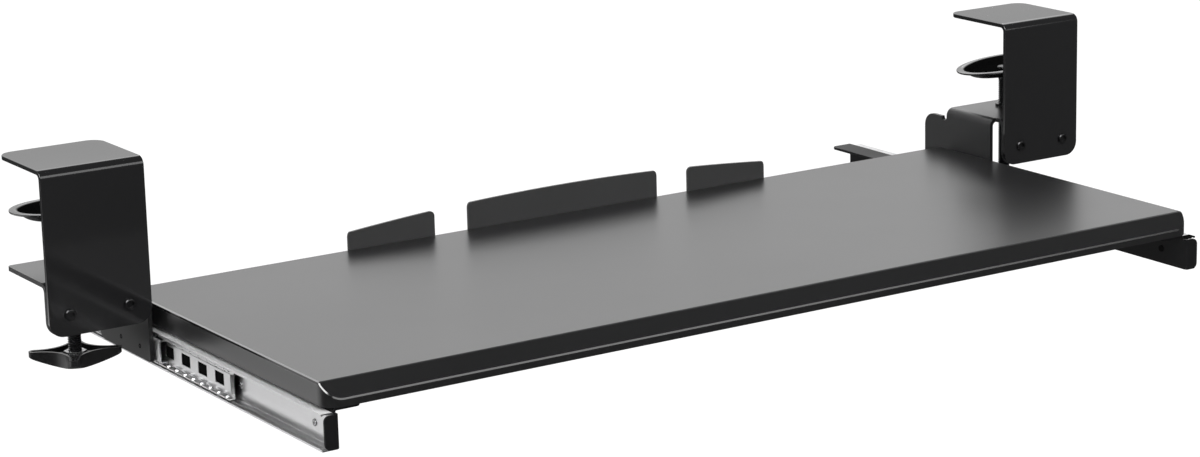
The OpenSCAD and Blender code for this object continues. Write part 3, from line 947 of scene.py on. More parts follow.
# Painted shade: black film on the cage's inner side and on the sheet behind its windows makes the windows read
# dark.
CAGE = replace(ZINC, label="greased_cage", grease_x=0.3434)
STEEL = BrightSteel("bright_steel", (0.70, 0.70, 0.71), (0.84, 0.84, 0.85), 0.14, 0.12)
RIVET = SetRivet("bright_steel", (0.22, 0.22, 0.225), (0.36, 0.36, 0.365), 0.16, 0.10, "rivet_steel")
NUT = BrightSteel(
    "bright_steel", (0.06, 0.06, 0.062), (0.50, 0.50, 0.505), 0.26, 0.20, "nut_steel", marks=1100.0
)
OXIDE = BlackOxide("black_fastener", (0.025, 0.025, 0.026), (0.045, 0.045, 0.046), 0.14, 0.08, bare=0.65)
DULL = DullRivet("black_fastener", (0.01, 0.01, 0.0105), (0.02, 0.02, 0.0205), 0.5, 0.2, "dull_rivet")
THREAD = BlackOxide("black_screw", (0.012, 0.012, 0.013), (0.035, 0.035, 0.037), 0.28, 0.16)
PAD = Enamel("gloss_pad", (0.006, 0.006, 0.0065), (0.010, 0.010, 0.0105), 0.14, 0.10)
PLASTIC = MouldedPlastic("handle_plastic", (0.006, 0.006, 0.0065), (0.010, 0.010, 0.0105), 0.30, 0.10)


@dataclass
class Layout:
    """Main places of the tray, shared by its sub-assemblies."""

    board_w: float = 686.0
    board_d: float = 279.0
    board_t: float = 15.0
    board_top: float = -100.0
    board_front: float = -218.0
    face_x: float = 339.4
    hang_x: float = 349.6
    clamp_x: float = 355.6
    clamp_w: float = 70.0
    slide_z: float = -128.75
    rail_back: float = 168.1

    @property
    def board_low(self) -> float:
        """Height of the board's underside."""
        return self.board_top - self.board_t

    @property
    def board_back(self) -> float:
        """Rear edge of the board."""
        return self.board_front + self.board_d

    @property
    def clamp_out(self) -> float:
        """Outer edge of a clamp."""
        return self.clamp_x + self.clamp_w

    @property
    def clamp_mid(self) -> float:
        """Middle of a clamp."""
        return self.clamp_x + self.clamp_w / 2


@dataclass
class OneSide:
    """A sub-assembly that the tray has on each side."""

    at: Layout
    side: Side

    def own(self, part: str) -> str:
        """Name of a piece, body or node on this side."""
        return self.side.prefix + part


@dataclass
class PanScrew:
    """Pan-head screw with a cross recess, pointing along an axis from under its head."""

    head_d: float = 8.0
    head_h: float = 2.4
    arm_w: float = 1.1
    arm_l: float = 4.4
    recess: float = 1.4
    crown_r: float = 1.5
    edge: float = 0.12

    def head(self, name: str, along: Axis, seat: Point, out: float) -> Bench:
        """Models one head.

        Args:
            name: Name of the piece.
            along: Axis of the screw.
            seat: Middle of the face under the head.
            out: Sign of the direction in which the head stands.

        Returns:
            The bench with the head.
        """
        i = along.value
        mid = list(seat)
        mid[i] += out * self.head_h / 2
        head = Bench.cylinder(name, along, mid, self.head_d / 2, self.head_h, 40)
        top = seat[i] + out * self.head_h
        head.pick(Pick.EDGES, lambda p: near(p[i], top)).round_edges(self.crown_r, 5)
        cutters = []
        for turn in range(2):
            low, high = list(seat), list(seat)
            j, k = [a for a in range(3) if a != i][:: 1 if turn else -1]
            low[j], high[j] = seat[j] - self.arm_l / 2, seat[j] + self.arm_l / 2
            low[k], high[k] = seat[k] - self.arm_w / 2, seat[k] + self.arm_w / 2
            low[i], high[i] = sorted((top - out * self.recess, top + out))
            cutters.append(Bench.box("cutter", low, high))
        return head.cut(*cutters)


@dataclass
class TrayBoard:
    """The board and the stop plate behind it."""

    at: Layout
    bevel: float = 10.0
    front_r: float = 12.0
    side_room: float = 1.3
    rear_r: float = 2.0
    arris: float = 0.6
    side_arris: float = 1.6
    nose_arris: float = 0.6
    stop_t: float = 2.0
    stop_rise: float = 21.0
    crown_r: float = 1850.0
    tab_edges: tuple[float, ...] = (80.0, 107.0, 176.0)
    corner_r: float = 4.0
    strip_inset: float = 2.0
    stop_edge: float = 0.35
    corner_zone: float = 5.0
    crown_faces: int = 2400
    screw: PanScrew = field(default_factory=PanScrew)

    def build(self) -> None:
        """Models the board, the stop and the stop's screws."""
        self.board()
        self.stop()
        self.stop_screws()

    def board(self) -> None:
        """Board: rounded corners, a bevel along the front and soft arrises."""
        at = self.at
        half = at.board_w / 2 + self.side_room
        piece = Bench.box("board", (-half, at.board_front, at.board_low), (half, at.board_back, at.board_top))
        for x in (-half, half):
            piece.pick(Pick.EDGES, lambda p: near(p.y, at.board_front) and near(p.x, x))
            piece.round_edges(self.front_r, 10)
            piece.pick(Pick.EDGES, lambda p: near(p.y, at.board_back) and near(p.x, x))
            piece.round_edges(self.rear_r, 4)
        piece.slice((0, at.board_front + self.bevel, at.board_top), (0, -1, 1), drop=True)
        piece.tidy()
        for sign in (-1, 1):
            piece.pick(Pick.EDGES, lambda p: near(p.z, at.board_top) and sign * p.x > half - 0.3)
            piece.round_edges(self.side_arris, 2)
        nose = at.board_front + self.bevel - at.board_top
        piece.pick(Pick.EDGES, lambda p: near(p.y - p.z, nose)).round_edges(self.nose_arris, 1)
        piece.tidy().soften(self.arris, 3, 75).done(BOARD, "tray", "tray_board", smooth=20)

    def stop(self) -> None:
        """Stop: a strip with three tabs under one long crown."""
        at = self.at
        back = at.board_back
        mid, gap, end = self.tab_edges
        low, high = at.board_low + self.strip_inset, at.board_top - self.strip_inset
        top = at.board_top + self.stop_rise
        plate = Bench.box("stop_plate", (-end, back, low), (end, back + self.stop_t, high))
        for x in (-gap, -mid, mid, gap):
            plate.slice((x, back, low), (1, 0, 0))
        tabs = ((-end, -gap), (-mid, mid), (gap, end))
        plate.pick(Pick.FACES, lambda p: near(p.z, high) and any(a - 0.1 < p.x < b + 0.1 for a, b in tabs))
        # the faces over the cable gaps touch two tabs, so they are told apart by their middles
        mesh = bmesh.from_edit_mesh(plate.obj.data)
        for face in mesh.faces:
            x = face.calc_center_median().x / MM
            face.select = face.select and any(a < x < b for a, b in tabs)
        mesh.select_flush_mode()
        bmesh.update_edit_mesh(plate.obj.data)
        plate.extrude((0, 0, top + 1 - high))
        plate.tidy()
        middle = (0, back + 1, top - self.crown_r)
        plate.keep_inside(Bench.cylinder("crown", Axis.Y, middle, self.crown_r, 20, self.crown_faces))
        for x in (-end, -gap, -mid, mid, gap, end):
            plate.pick(Pick.EDGES, lambda p: p.z > at.board_top + self.corner_zone and near(p.x, x, 0.05))
            plate.round_edges(self.corner_r, 8)
        for x in (-end, end):
            plate.pick(Pick.EDGES, lambda p: near(p.z, low) and near(p.x, x)).round_edges(self.corner_r, 8)
        plate.tidy().soften(self.stop_edge).done(STOP, "tray", "rear_stop")

    def stop_screws(self) -> None:
        """Screws through the stop into the board's rear edge."""
        at = self.at
        seat_y = at.board_back + self.stop_t
        z = at.board_low + at.board_t / 2
        xs = [f * self.tab_edges[2] for f in (-0.75, -0.25, 0.25, 0.75)]
        first = self.screw.head("stop_screws", Axis.Y, (xs[0], seat_y, z), 1.0)
        first.join([first.copy("stop_screw", (x - xs[0], 0, 0)) for x in xs[1:]])
        first.soften(self.screw.edge).done(OXIDE, "tray", "rear_stop_screws")


@dataclass
class RailBracket(OneSide):
    """Steel angle under one side of the board, with a tab turned out at the front."""

    gauge: float = 2.0
    width: float = 20.0
    height: float = 24.5
    bend_r: float = 0.8
    tab_w: float = 8.2
    tab_lead: float = 3.0
    tab_r: float = 4.0
    flange_r: float = 4.0
    edge: float = 0.3
    screw_count: int = 4
    screw_inset: float = 22.0
    screw: PanScrew = field(default_factory=PanScrew)

    def build(self) -> None:
        """Models the angle and the screws that hold it."""
        self.angle()
        self.screws()

    def angle(self) -> None:
        """Angle: an upright sheet with a flange bent in at the top and a tab bent out at the front."""
        at, s = self.at, self.side.value
        ring = self.bend_r + self.gauge
        low, top = at.board_low - self.height, at.board_low - ring
        tab_y = at.board_front - self.tab_lead + self.gauge
        front, bend_y = tab_y + self.bend_r, tab_y + ring
        face = s * at.face_x
        sheet = Bench.plane(self.own("angle"), Axis.X, (face, front, low), (face, at.rail_back, top))
        sheet.slice((0, bend_y, 0), (0, 1, 0))
        sheet.pick(Pick.EDGES, lambda p: near(p.z, top) and p.y > bend_y - 0.1)
        sheet.bend((s * (at.face_x - ring), 0, top), Axis.Y, -90 * s, 6)
        sheet.extrude((-s * (self.width - ring), 0, 0))
        edge = s * (at.face_x - self.width)
        sheet.pick(Pick.VERTS, lambda p: near(p.x, edge)).round_corners(self.flange_r, 6)
        sheet.pick(Pick.EDGES, lambda p: near(p.y, front))
        sheet.bend((s * (at.face_x + self.bend_r), front, 0), Axis.Z, 90 * s, 6)
        sheet.extrude((s * (self.tab_w - self.bend_r), 0, 0))
        tip = s * (at.face_x + self.tab_w)
        sheet.pick(Pick.VERTS, lambda p: near(p.x, tip) and near(p.y, tab_y)).round_corners(self.tab_r, 8)
        sheet.thicken(self.gauge, (face, 0, (low + top) / 2), (-s, 0, 0))
        sheet.soften(self.edge).done(ANGLE, "tray", self.own("rail_bracket"))

    def screws(self) -> None:
        """Screws up through the flange into the board."""
        at, s = self.at, self.side.value
        ring = self.bend_r + self.gauge
        x = s * (at.face_x - ring - (self.width - ring) / 2)
        first_y, last_y = at.board_front + self.screw_inset, at.board_back - self.screw_inset
        step = (last_y - first_y) / (self.screw_count - 1)
        seat = at.board_low - self.gauge
        first = self.screw.head(self.own("board_screws"), Axis.Z, (x, first_y, seat), -1.0)
        first.join([first.copy("board_screw", (0, step * n, 0)) for n in range(1, self.screw_count)])
        first.soften(self.screw.edge).done(OXIDE, "tray", self.own("bracket_screws"))


@dataclass
class ClampPlates(OneSide):
    """Upper jaw and hanger of one clamp, with the bolts that join them."""

    gauge: float = 3.0
    bend_r: float = 3.0
    jaw_over: float = 1.2
    reach: float = 65.5
    jaw_h: float = 105.8
    corner_r: float = 10.0
    shelf_z: float = -70.5
    shelf_reach: float = 61.0
    shelf_r: float = 3.0
    side_front: float = 9.0
    side_rear: float = 87.5
    side_below: float = 8.0
    lobe_r: float = 10.0
    lobe_drop: float = 1.0
    heel_r: float = 9.0
    toe_r: float = 2.0
    notch_r: float = 3.0
    edge: float = 0.45
    jaw_edge: float = 0.5
    bolt_spacing: float = 41.2
    bolt_up: float = 14.0
    bolt_head_d: float = 8.0
    bolt_head_h: float = 2.0
    socket: float = 4.2
    bolt_crown_r: float = 1.2
    bolt_edge: float = 0.15
    shank: Span = (5.0, 8.8)
    shank_r: float = 3.0
    shank_edge: float = 0.6

    def build(self) -> None:
        """Models both plates and the bolt heads."""
        self.jaw()
        self.hanger()
        self.bolts()

    def jaw(self) -> None:
        """Upper jaw: one plate bent over the desk edge, rounded at its free corners."""
        at, s, r = self.at, self.side.value, self.bend_r
        inner, outer = s * (at.clamp_x - self.jaw_over), s * at.clamp_out
        low_z = -self.jaw_h
        sheet = Bench.plane(self.own("jaw"), Axis.Y, (inner, 0, low_z), (outer, 0, -r))
        sheet.pick(Pick.VERTS, lambda p: near(p.z, low_z)).round_corners(self.corner_r, 10)
        sheet.pick(Pick.EDGES, lambda p: near(p.z, -r)).bend((0, r, -r), Axis.X, -90, 8)
        sheet.extrude((0, self.reach - r, 0))
        sheet.pick(Pick.VERTS, lambda p: near(p.y, self.reach)).round_corners(self.corner_r, 10)
        sheet.thicken(self.gauge, (s * at.clamp_mid, 0, -50), (0, -1, 0))
        sheet.soften(self.jaw_edge, 4).done(PLATE, "clamps", self.own("upper_jaw"))

    def hanger(self) -> None:
        """Hanger: shelf, front flange and side plate bent from one blank."""
        at, s = self.at, self.side.value
        ring = self.bend_r + self.gauge
        z, axis_z = self.shelf_z, self.shelf_z - ring
        inner, outer = s * at.clamp_x, s * at.clamp_out
        sheet = Bench.plane(self.own("hanger"), Axis.Z, (inner, ring, z), (outer, self.shelf_reach, z))
        sheet.slice((0, self.side_front, z), (0, 1, 0))
        sheet.pick(Pick.VERTS, lambda p: near(p.x, outer) and near(p.y, self.shelf_reach))
        sheet.round_corners(self.shelf_r, 5)
        sheet.pick(Pick.EDGES, lambda p: near(p.y, ring)).bend((0, ring, axis_z), Axis.X, 90, 8)
        low_z = -self.jaw_h
        sheet.extrude((0, 0, low_z - axis_z))
        sheet.pick(Pick.VERTS, lambda p: near(p.z, low_z)).round_corners(self.corner_r, 10)
        sheet.pick(Pick.EDGES, lambda p: near(p.x, inner) and near(p.z, z) and p.y > self.side_front - 0.1)
        sheet.bend((inner, 0, axis_z), Axis.Y, -90 * s, 8)
        lobe_z = axis_z - self.lobe_drop
        sheet.extrude((0, 0, -self.lobe_drop))
        foot_z = at.slide_z - self.side_below
        sheet.extrude((0, 0, foot_z - lobe_z))
        face = s * at.hang_x
        end = self.shelf_reach
        sheet.pick(Pick.EDGES, lambda p: near(p.x, face) and near(p.y, end) and p.z < lobe_z + 0.1)
        sheet.extrude((0, self.side_rear - end, 0))
        for corner_z, radius in ((lobe_z, self.lobe_r), (foot_z, self.heel_r)):
            sheet.pick(Pick.VERTS, lambda p: near(p.y, self.side_rear) and near(p.z, corner_z))
            sheet.round_corners(radius, 10)
        sheet.pick(Pick.VERTS, lambda p: near(p.y, self.side_front) and near(p.z, foot_z))
        sheet.round_corners(self.toe_r, 4)
        sheet.thicken(self.gauge, (face, 40, -110), (s, 0, 0))
        spot = (s * (at.hang_x + self.gauge / 2), self.shelf_reach + self.notch_r, lobe_z)
        notch = Bench.cylinder("notch", Axis.X, spot, self.notch_r, 12, 40)
        sheet.cut(notch).soften(self.edge, 3).done(HANGER, "clamps", self.own("hanger"))

    def bolts(self) -> None:
        """Button heads with hexagon sockets on the front of the jaw."""
        at, s = self.at, self.side.value
        x = s * at.clamp_mid - self.bolt_spacing / 2
        z = self.bolt_up - self.jaw_h
        seat = -self.gauge
        crown = seat - self.bolt_head_h
        middle = (x, (seat + crown) / 2, z)
        head = Bench.cylinder(self.own("bolt_heads"), Axis.Y, middle, self.bolt_head_d / 2, self.bolt_head_h)
        head.pick(Pick.EDGES, lambda p: near(p.y, crown)).round_edges(self.bolt_crown_r, 6)
        hole = Bench.cylinder("socket", Axis.Y, (x, crown, z), self.socket / math.sqrt(3), 3.0, 6)
        head.cut(hole).soften(self.bolt_edge)
        start, end = self.shank
        shank = Bench.cylinder("shank", Axis.Y, (x, (start + end) / 2, z), self.shank_r, end - start, 32)
        shank.pick(Pick.EDGES, lambda p: near(p.y, end)).round_edges(self.shank_edge, 2)
        head.join([shank])
        head.join([head.copy("bolt_head", (self.bolt_spacing, 0, 0))])
        head.done(OXIDE, "clamps", self.own("jaw_bolts"))


@dataclass
class ClampScrew(OneSide):
    """Pad, threaded screw and star handle of one clamp."""

    rim_z: float
    tilt: float
    heading: float
    handle_low: float
    y: float = 41.5
    d: float = 9.0
    pitch: float = 1.5
    depth: float = 0.82
    pad_d: float = 72.6
    rim_w: float = 4.6
    rim_drop: float = 0.6
    base_d: float = 48.0
    pad_depth: float = 5.5
    pad_rise: float = 0.5
    pad_t: float = 1.5
    seat_room: float = 0.9
    base_round: float = 2.6
    mouth_round: float = 2.4
    pad_edge: float = 0.5
    neck_r: float = 3.15
    hole_room: float = 0.6
    button_r: float = 5.4
    lead: float = 3.0
    run_out: float = 8.0
    lap: float = 0.8
    button_h: float = 2.0
    handle_len: float = 60.0
    arm_w: float = 6.6
    flank_r: float = 21.0
    handle_h: float = 11.0
    belly_r: float = 65.0
    wall: float = 1.6
    floor: float = 3.0
    rib_t: float = 1.4
    rib_below: float = 2.0
    rib_start: float = 7.8
    boss_d: float = 16.2
    boss_below: float = 5.0
    handle_edge: float = 0.4
    bore_room: float = 0.1
    turn: float = 25.0

    @property
    def x(self) -> float:
        """Place of the screw's axis across the width."""
        return self.side.value * self.at.clamp_mid

    def build(self) -> None:
        """Models pad, screw and handle."""
        self.pad()
        self.screw()
        self.handle()

    def pad(self) -> None:
        """Pad: a spun cup with a flat rim, loose on its neck."""
        s, rim, mouth = self.side.value, self.pad_d / 2, self.pad_d / 2 - self.rim_w
        base, hole = self.base_d / 2, self.neck_r + self.hole_room
        z, low = self.rim_z + self.pad_rise, self.rim_z - self.pad_depth
        cup = Bench.plane(self.own("pad"), Axis.Y, (hole, 0, low), (base, 0, low + 1))
        cup.pick(Pick.VERTS, lambda p: p.z > low + 0.5).drop()
        cup.pick(Pick.VERTS, lambda p: p.x > base - 0.1)
        cup.extrude((mouth - base, 0, z - low)).extrude((rim - mouth, 0, -self.rim_drop))
        for reach, height, radius in ((base, low, self.base_round), (mouth, z, self.mouth_round)):
            cup.pick(Pick.VERTS, lambda p: near(p.x, reach) and near(p.z, height)).round_corners(radius, 5)
        cup.spin((0, 0, 0)).thicken(self.pad_t, (rim - 2, 0, z), (0, 0, -1)).soften(self.pad_edge, 4, 60)
        pivot = (0, 0, low - self.pad_t / 2)
        cup.tilt(s * self.tilt, Axis.Y, pivot).tilt(s * self.heading, Axis.Z, pivot)
        cup.everything().move((self.x, self.y, 0))
        cup.done(PAD, self.own("pad"), self.own("clamp_pad"), smooth=50)

    def _length(self, name: str, radius: float, low: float, high: float, arris: float) -> Bench:
        """Turned length of the screw between two heights, with its ends' edges rounded.

        Args:
            name: Name of the piece.
            radius: Its radius.
            low: Height of its lower end.
            high: Height of its upper end.
            arris: Rounding of the edge of each end.

        Returns:
            The bench with the length, round the frame's z axis.
        """
        length = Bench.cylinder(name, Axis.Z, (0, 0, (low + high) / 2), radius, high - low, 40)
        for end in (low, high):
            length.pick(Pick.EDGES, lambda p: near(p.z, end)).round_edges(arris, 3)
        return length

    def screw(self) -> None:
        """Screw: a cut thread between the swivel neck and the handle."""
        shoulder = self.rim_z - self.pad_depth - self.pad_t - self.seat_room
        seat = self.rim_z - self.pad_depth + self.seat_room
        tail = self.handle_low + self.floor / 2
        top, root = self.d / 2, self.d / 2 - self.depth
        start, turns = tail + self.lead, int((shoulder - tail - self.run_out) / self.pitch)
        end = start + self.pitch * (turns + 1)
        name = self.own("threaded_rod")
        rod = Bench.plane(name, Axis.Y, (root, 0, start), (root + 0.1, 0, start + self.pitch))
        rod.pick(Pick.VERTS, lambda p: p.x > root + 0.05).drop()
        rod.everything().divide(7)
        for step in range(1, 8):
            lift = self.depth * min(1.0, (4 - abs(step - 4)) / 3.2)
            height = start + self.pitch * step / 8
            rod.pick(Pick.VERTS, lambda p: near(p.z, height, 0.03)).move((lift, 0, 0))
        rod.coil(self.pitch, turns)
        rod.join([
            self._length("core", root + 0.02, tail, shoulder, 0.2),
            self._length("collar", top, end - self.lap, shoulder, 0.5),
            self._length("tail", top, tail, start + self.lap, 0.5),
            self._length("neck", self.neck_r, shoulder - 0.3, seat + 0.3, 0.1),
            self._length("button", self.button_r, seat, seat + self.button_h, 0.9),
        ])
        rod.everything().move((self.x, self.y, 0))
        rod.done(THREAD, self.own("screw"), self.own("clamp_screw"))

    def _star(self, name: str, wall: float, low: float, top: float) -> Bench:
        """Solid of the handle's star plan, smaller all round by a wall, above its domed underside.

        Args:
            name: Name of the piece.
            wall: Wall that is taken off all round.
            low: Height of the dome's lowest point.
            top: Height of the flat top.

        Returns:
            The bench with the star, round the frame's z axis.
        """
        flank, arm, tip = self.flank_r + self.arm_w / 2, self.arm_w / 2 - wall, self.handle_len / 2 - wall
        star = Bench.box(name, (-flank, -flank, 0), (flank, flank, top))
        for x in (-flank, flank):
            for y in (-flank, flank):
                star.cut(Bench.cylinder("flank", Axis.Z, (x, y, top / 2), self.flank_r + wall, 2 * top, 96))
        for i, j in ((0, 1), (1, 0)):
            for sign in (-1, 1):
                way = [0.0, 0.0, 0.0]
                way[i] = sign * (tip - flank)
                star.pick(Pick.FACES, lambda p: near(p[i], sign * flank)).extrude(way)
                for edge in (-arm, arm):
                    star.pick(Pick.EDGES, lambda p: near(p[i], sign * tip) and near(p[j], edge))
                    star.round_edges(0.98 * arm, 8)
        star.tidy()
        return star.keep_inside(Bench.sphere("dome", (0, 0, self.belly_r), self.belly_r - low))

    def handle(self) -> None:
        """Handle: a hollow-topped, four-armed star with a boss for the screw and a rib in each arm."""
        boss_h, rib_h = self.handle_h - self.boss_below, self.handle_h - self.rib_below
        star = self._star(self.own("star_handle"), 0.0, 0.0, self.handle_h)
        hollow = self._star("hollow", self.wall, self.floor, self.handle_h + 4)
        hollow.cut(Bench.cylinder("boss", Axis.Z, (0, 0, boss_h / 2), self.boss_d / 2, boss_h))
        near_end, far_end, half = self.rib_start, self.handle_len / 2, self.rib_t / 2
        for sign in (-1, 1):
            a, b = sorted((sign * near_end, sign * far_end))
            hollow.cut(Bench.box("rib", (a, -half, 0), (b, half, rib_h)))
            hollow.cut(Bench.box("rib", (-half, a, 0), (half, b, rib_h)))
        star.cut(hollow)
        bore_r = self.d / 2 + self.bore_room
        star.cut(Bench.cylinder("bore", Axis.Z, (0, 0, self.floor / 2 + 10), bore_r, 20, 40))
        star.soften(self.handle_edge, 2, 45)
        star.tilt(self.side.value * self.turn, Axis.Z, (0, 0, 0))
        star.everything().move((self.x, self.y, self.handle_low))
        star.done(PLASTIC, self.own("screw"), self.own("clamp_handle"), smooth=40)


@dataclass
class RailRivets(OneSide):
    """Rivets of one outer rail: dimpled heads on the rail and flat ones behind the bracket."""

    rail_front: float = -217.9
    inset: float = 22.5
    pitch: float = 98.0
    count: int = 4
    head_d: float = 4.65
    head_h: float = 0.7
    dimple_d: float = 1.8
    dimple: float = 0.5
    head_edge: float = 0.4
    flat_edge: float = 0.3
    rail_gauge: float = 1.2
    bracket_t: float = 2.0

    def build(self) -> None:
        """Models one rivet and copies it along the rail."""
        at, s, y = self.at, self.side.value, self.rail_front + self.inset
        seat, back = at.face_x + self.rail_gauge, at.face_x - self.bracket_t
        top = s * (seat + self.head_h)
        mid = s * (seat + self.head_h / 2)
        name = self.own("rail_rivets")
        rivet = Bench.cylinder(name, Axis.X, (mid, y, at.slide_z), self.head_d / 2, self.head_h, 32)
        rivet.pick(Pick.EDGES, lambda p: near(p.x, top)).round_edges(self.head_edge, 3)
        land = self.head_d / 2 - self.head_edge - self.dimple_d / 2
        rivet.pick(Pick.FACES, lambda p: near(p.x, top)).inset(land)
        rivet.extrude((-s * self.dimple, 0, 0))
        behind = (s * (back - self.head_h / 2), y, at.slide_z)
        flat = Bench.cylinder("flat", Axis.X, behind, self.head_d / 2, self.head_h, 32)
        flat.pick(Pick.EDGES, lambda p: near(p.x, s * (back - self.head_h))).round_edges(self.flat_edge, 2)
        rivet.join([flat])
        rivet.join([rivet.copy("rivet", (0, self.pitch * n, 0)) for n in range(1, self.count)])
        rivet.tidy().done(RIVET, "tray", self.own("outer_rivets"))


@dataclass
class BallCage(OneSide):
    """Ball cage of one slide: a thin channel with a raised strip of windows and a hole for each ball."""

    front: float = -94.0
    length: float = 200.0
    web: float = 3.4
    depth: float = 4.6
    half_h: float = 9.7
    gauge: float = 0.8
    bend_r: float = 1.3
    strip_rise: float = 0.4
    strip_half: float = 5.7
    window_pitch: float = 24.0
    window_l: float = 12.4
    window_h: float = 7.8
    first_window: float = 19.5
    lip_half: float = 6.35
    lip_reach: float = 2.5
    ball_pitch: float = 12.0
    ball_u: float = 6.5
    ball_v: float = 9.3
    hole_r: float = 1.7
    bite: float = 0.3
    edge: float = 0.12
    liner_t: float = 0.5
    liner_inset: float = 2.0
    most_windows: int = 8

    def _bar(self, name: str, out: Span, along: Span, half: float) -> Bench:
        """Bar that stands across the middle of the slide.

        Args:
            name: Name of the bar.
            out: Its two faces, measured out from the bracket.
            along: Its two ends along the slide.
            half: Half its height.

        Returns:
            The bench with the bar.
        """
        s, z = self.side.value, self.at.slide_z
        a, b = sorted(s * (self.at.face_x + u) for u in out)
        return Bench.box(name, (a, along[0], z - half), (b, along[1], z + half))

    def build(self) -> None:
        """Models channel, strip, lip, windows, ball holes and a dark sheet of painted shade behind the
        windows.
        """
        at, s, r = self.at, self.side.value, self.bend_r
        front, back = self.front, self.front + self.length
        face, z = s * (at.face_x + self.web), at.slide_z
        straight = self.half_h - r
        low, high = (face, front, z - straight), (face, back, z + straight)
        cage = Bench.plane(self.own("cage"), Axis.X, low, high)
        for up in (-1, 1):
            rim = z + up * straight
            cage.pick(Pick.EDGES, lambda p: near(p.z, rim) and near(p.x, face))
            cage.bend((face + s * r, 0, rim), Axis.Y, up * s * 90, 4)
            cage.extrude((s * (self.depth - r), 0, 0))
        cage.thicken(self.gauge, (face, (front + back) / 2, z), (s, 0, 0))
        outer = self.web + self.gauge
        seat = outer - self.bite
        cage.weld(
            self._bar("strip", (seat, outer + self.strip_rise), (front, back), self.strip_half),
            self._bar("lip", (seat, outer + self.lip_reach), (front, front + self.gauge), self.lip_half),
        )
        half = self.window_l / 2
        middles = [front + self.first_window + self.window_pitch * n for n in range(self.most_windows)]
        cage.cut(*(
            self._bar("window", (self.web - 1, outer + 2), (y - half, y + half), self.window_h / 2)
            for y in middles if y + half < back
        ))
        count = int(self.length / self.ball_pitch)
        x = s * (at.face_x + self.ball_u)
        for up in (-1, 1):
            spot = (x, front + self.ball_pitch / 2, z + up * self.ball_v)
            hole = Bench.cylinder("hole", Axis.Z, spot, self.hole_r, 2 * self.gauge, 24)
            hole.join([hole.copy("hole", (0, self.ball_pitch * n, 0)) for n in range(1, count)])
            cage.cut(hole)
        cage.soften(self.edge, 1)
        # Painted shade: a thin sheet behind the windows takes the cage's black film, so the windows read dark.
        ends = (front + self.liner_inset, back - self.liner_inset)
        cage.join([self._bar("liner", (self.web - self.liner_t, self.web), ends, self.strip_half)])
        cage.done(CAGE, self.own("cage"), self.own("ball_cage"))


@dataclass
class Fittings:
    """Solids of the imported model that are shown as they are, by finish."""

    side: Side

    def dress(self) -> None:
        """Gives each solid that stays its finish."""
        pairs = (
            (ZINC, ("inner_rail",)),
            (ZINC if self.side is Side.LEFT else RAIL, ("outer_rail",)),
            (STEEL, ("balls",)),
            (NUT, ("handle_nut",)),
            (OXIDE, ("jaw_nuts", "screw_bush")),
            (DULL, ("inner_rivets",)),
        )
        for finish, nodes in pairs:
            for node in nodes:
                obj = frame["nodes"][self.side.prefix + node]
                obj.data.materials.clear()
                obj.data.materials.append(finish.material())
                LOG.info("%s: %s", obj.name, finish.slot)


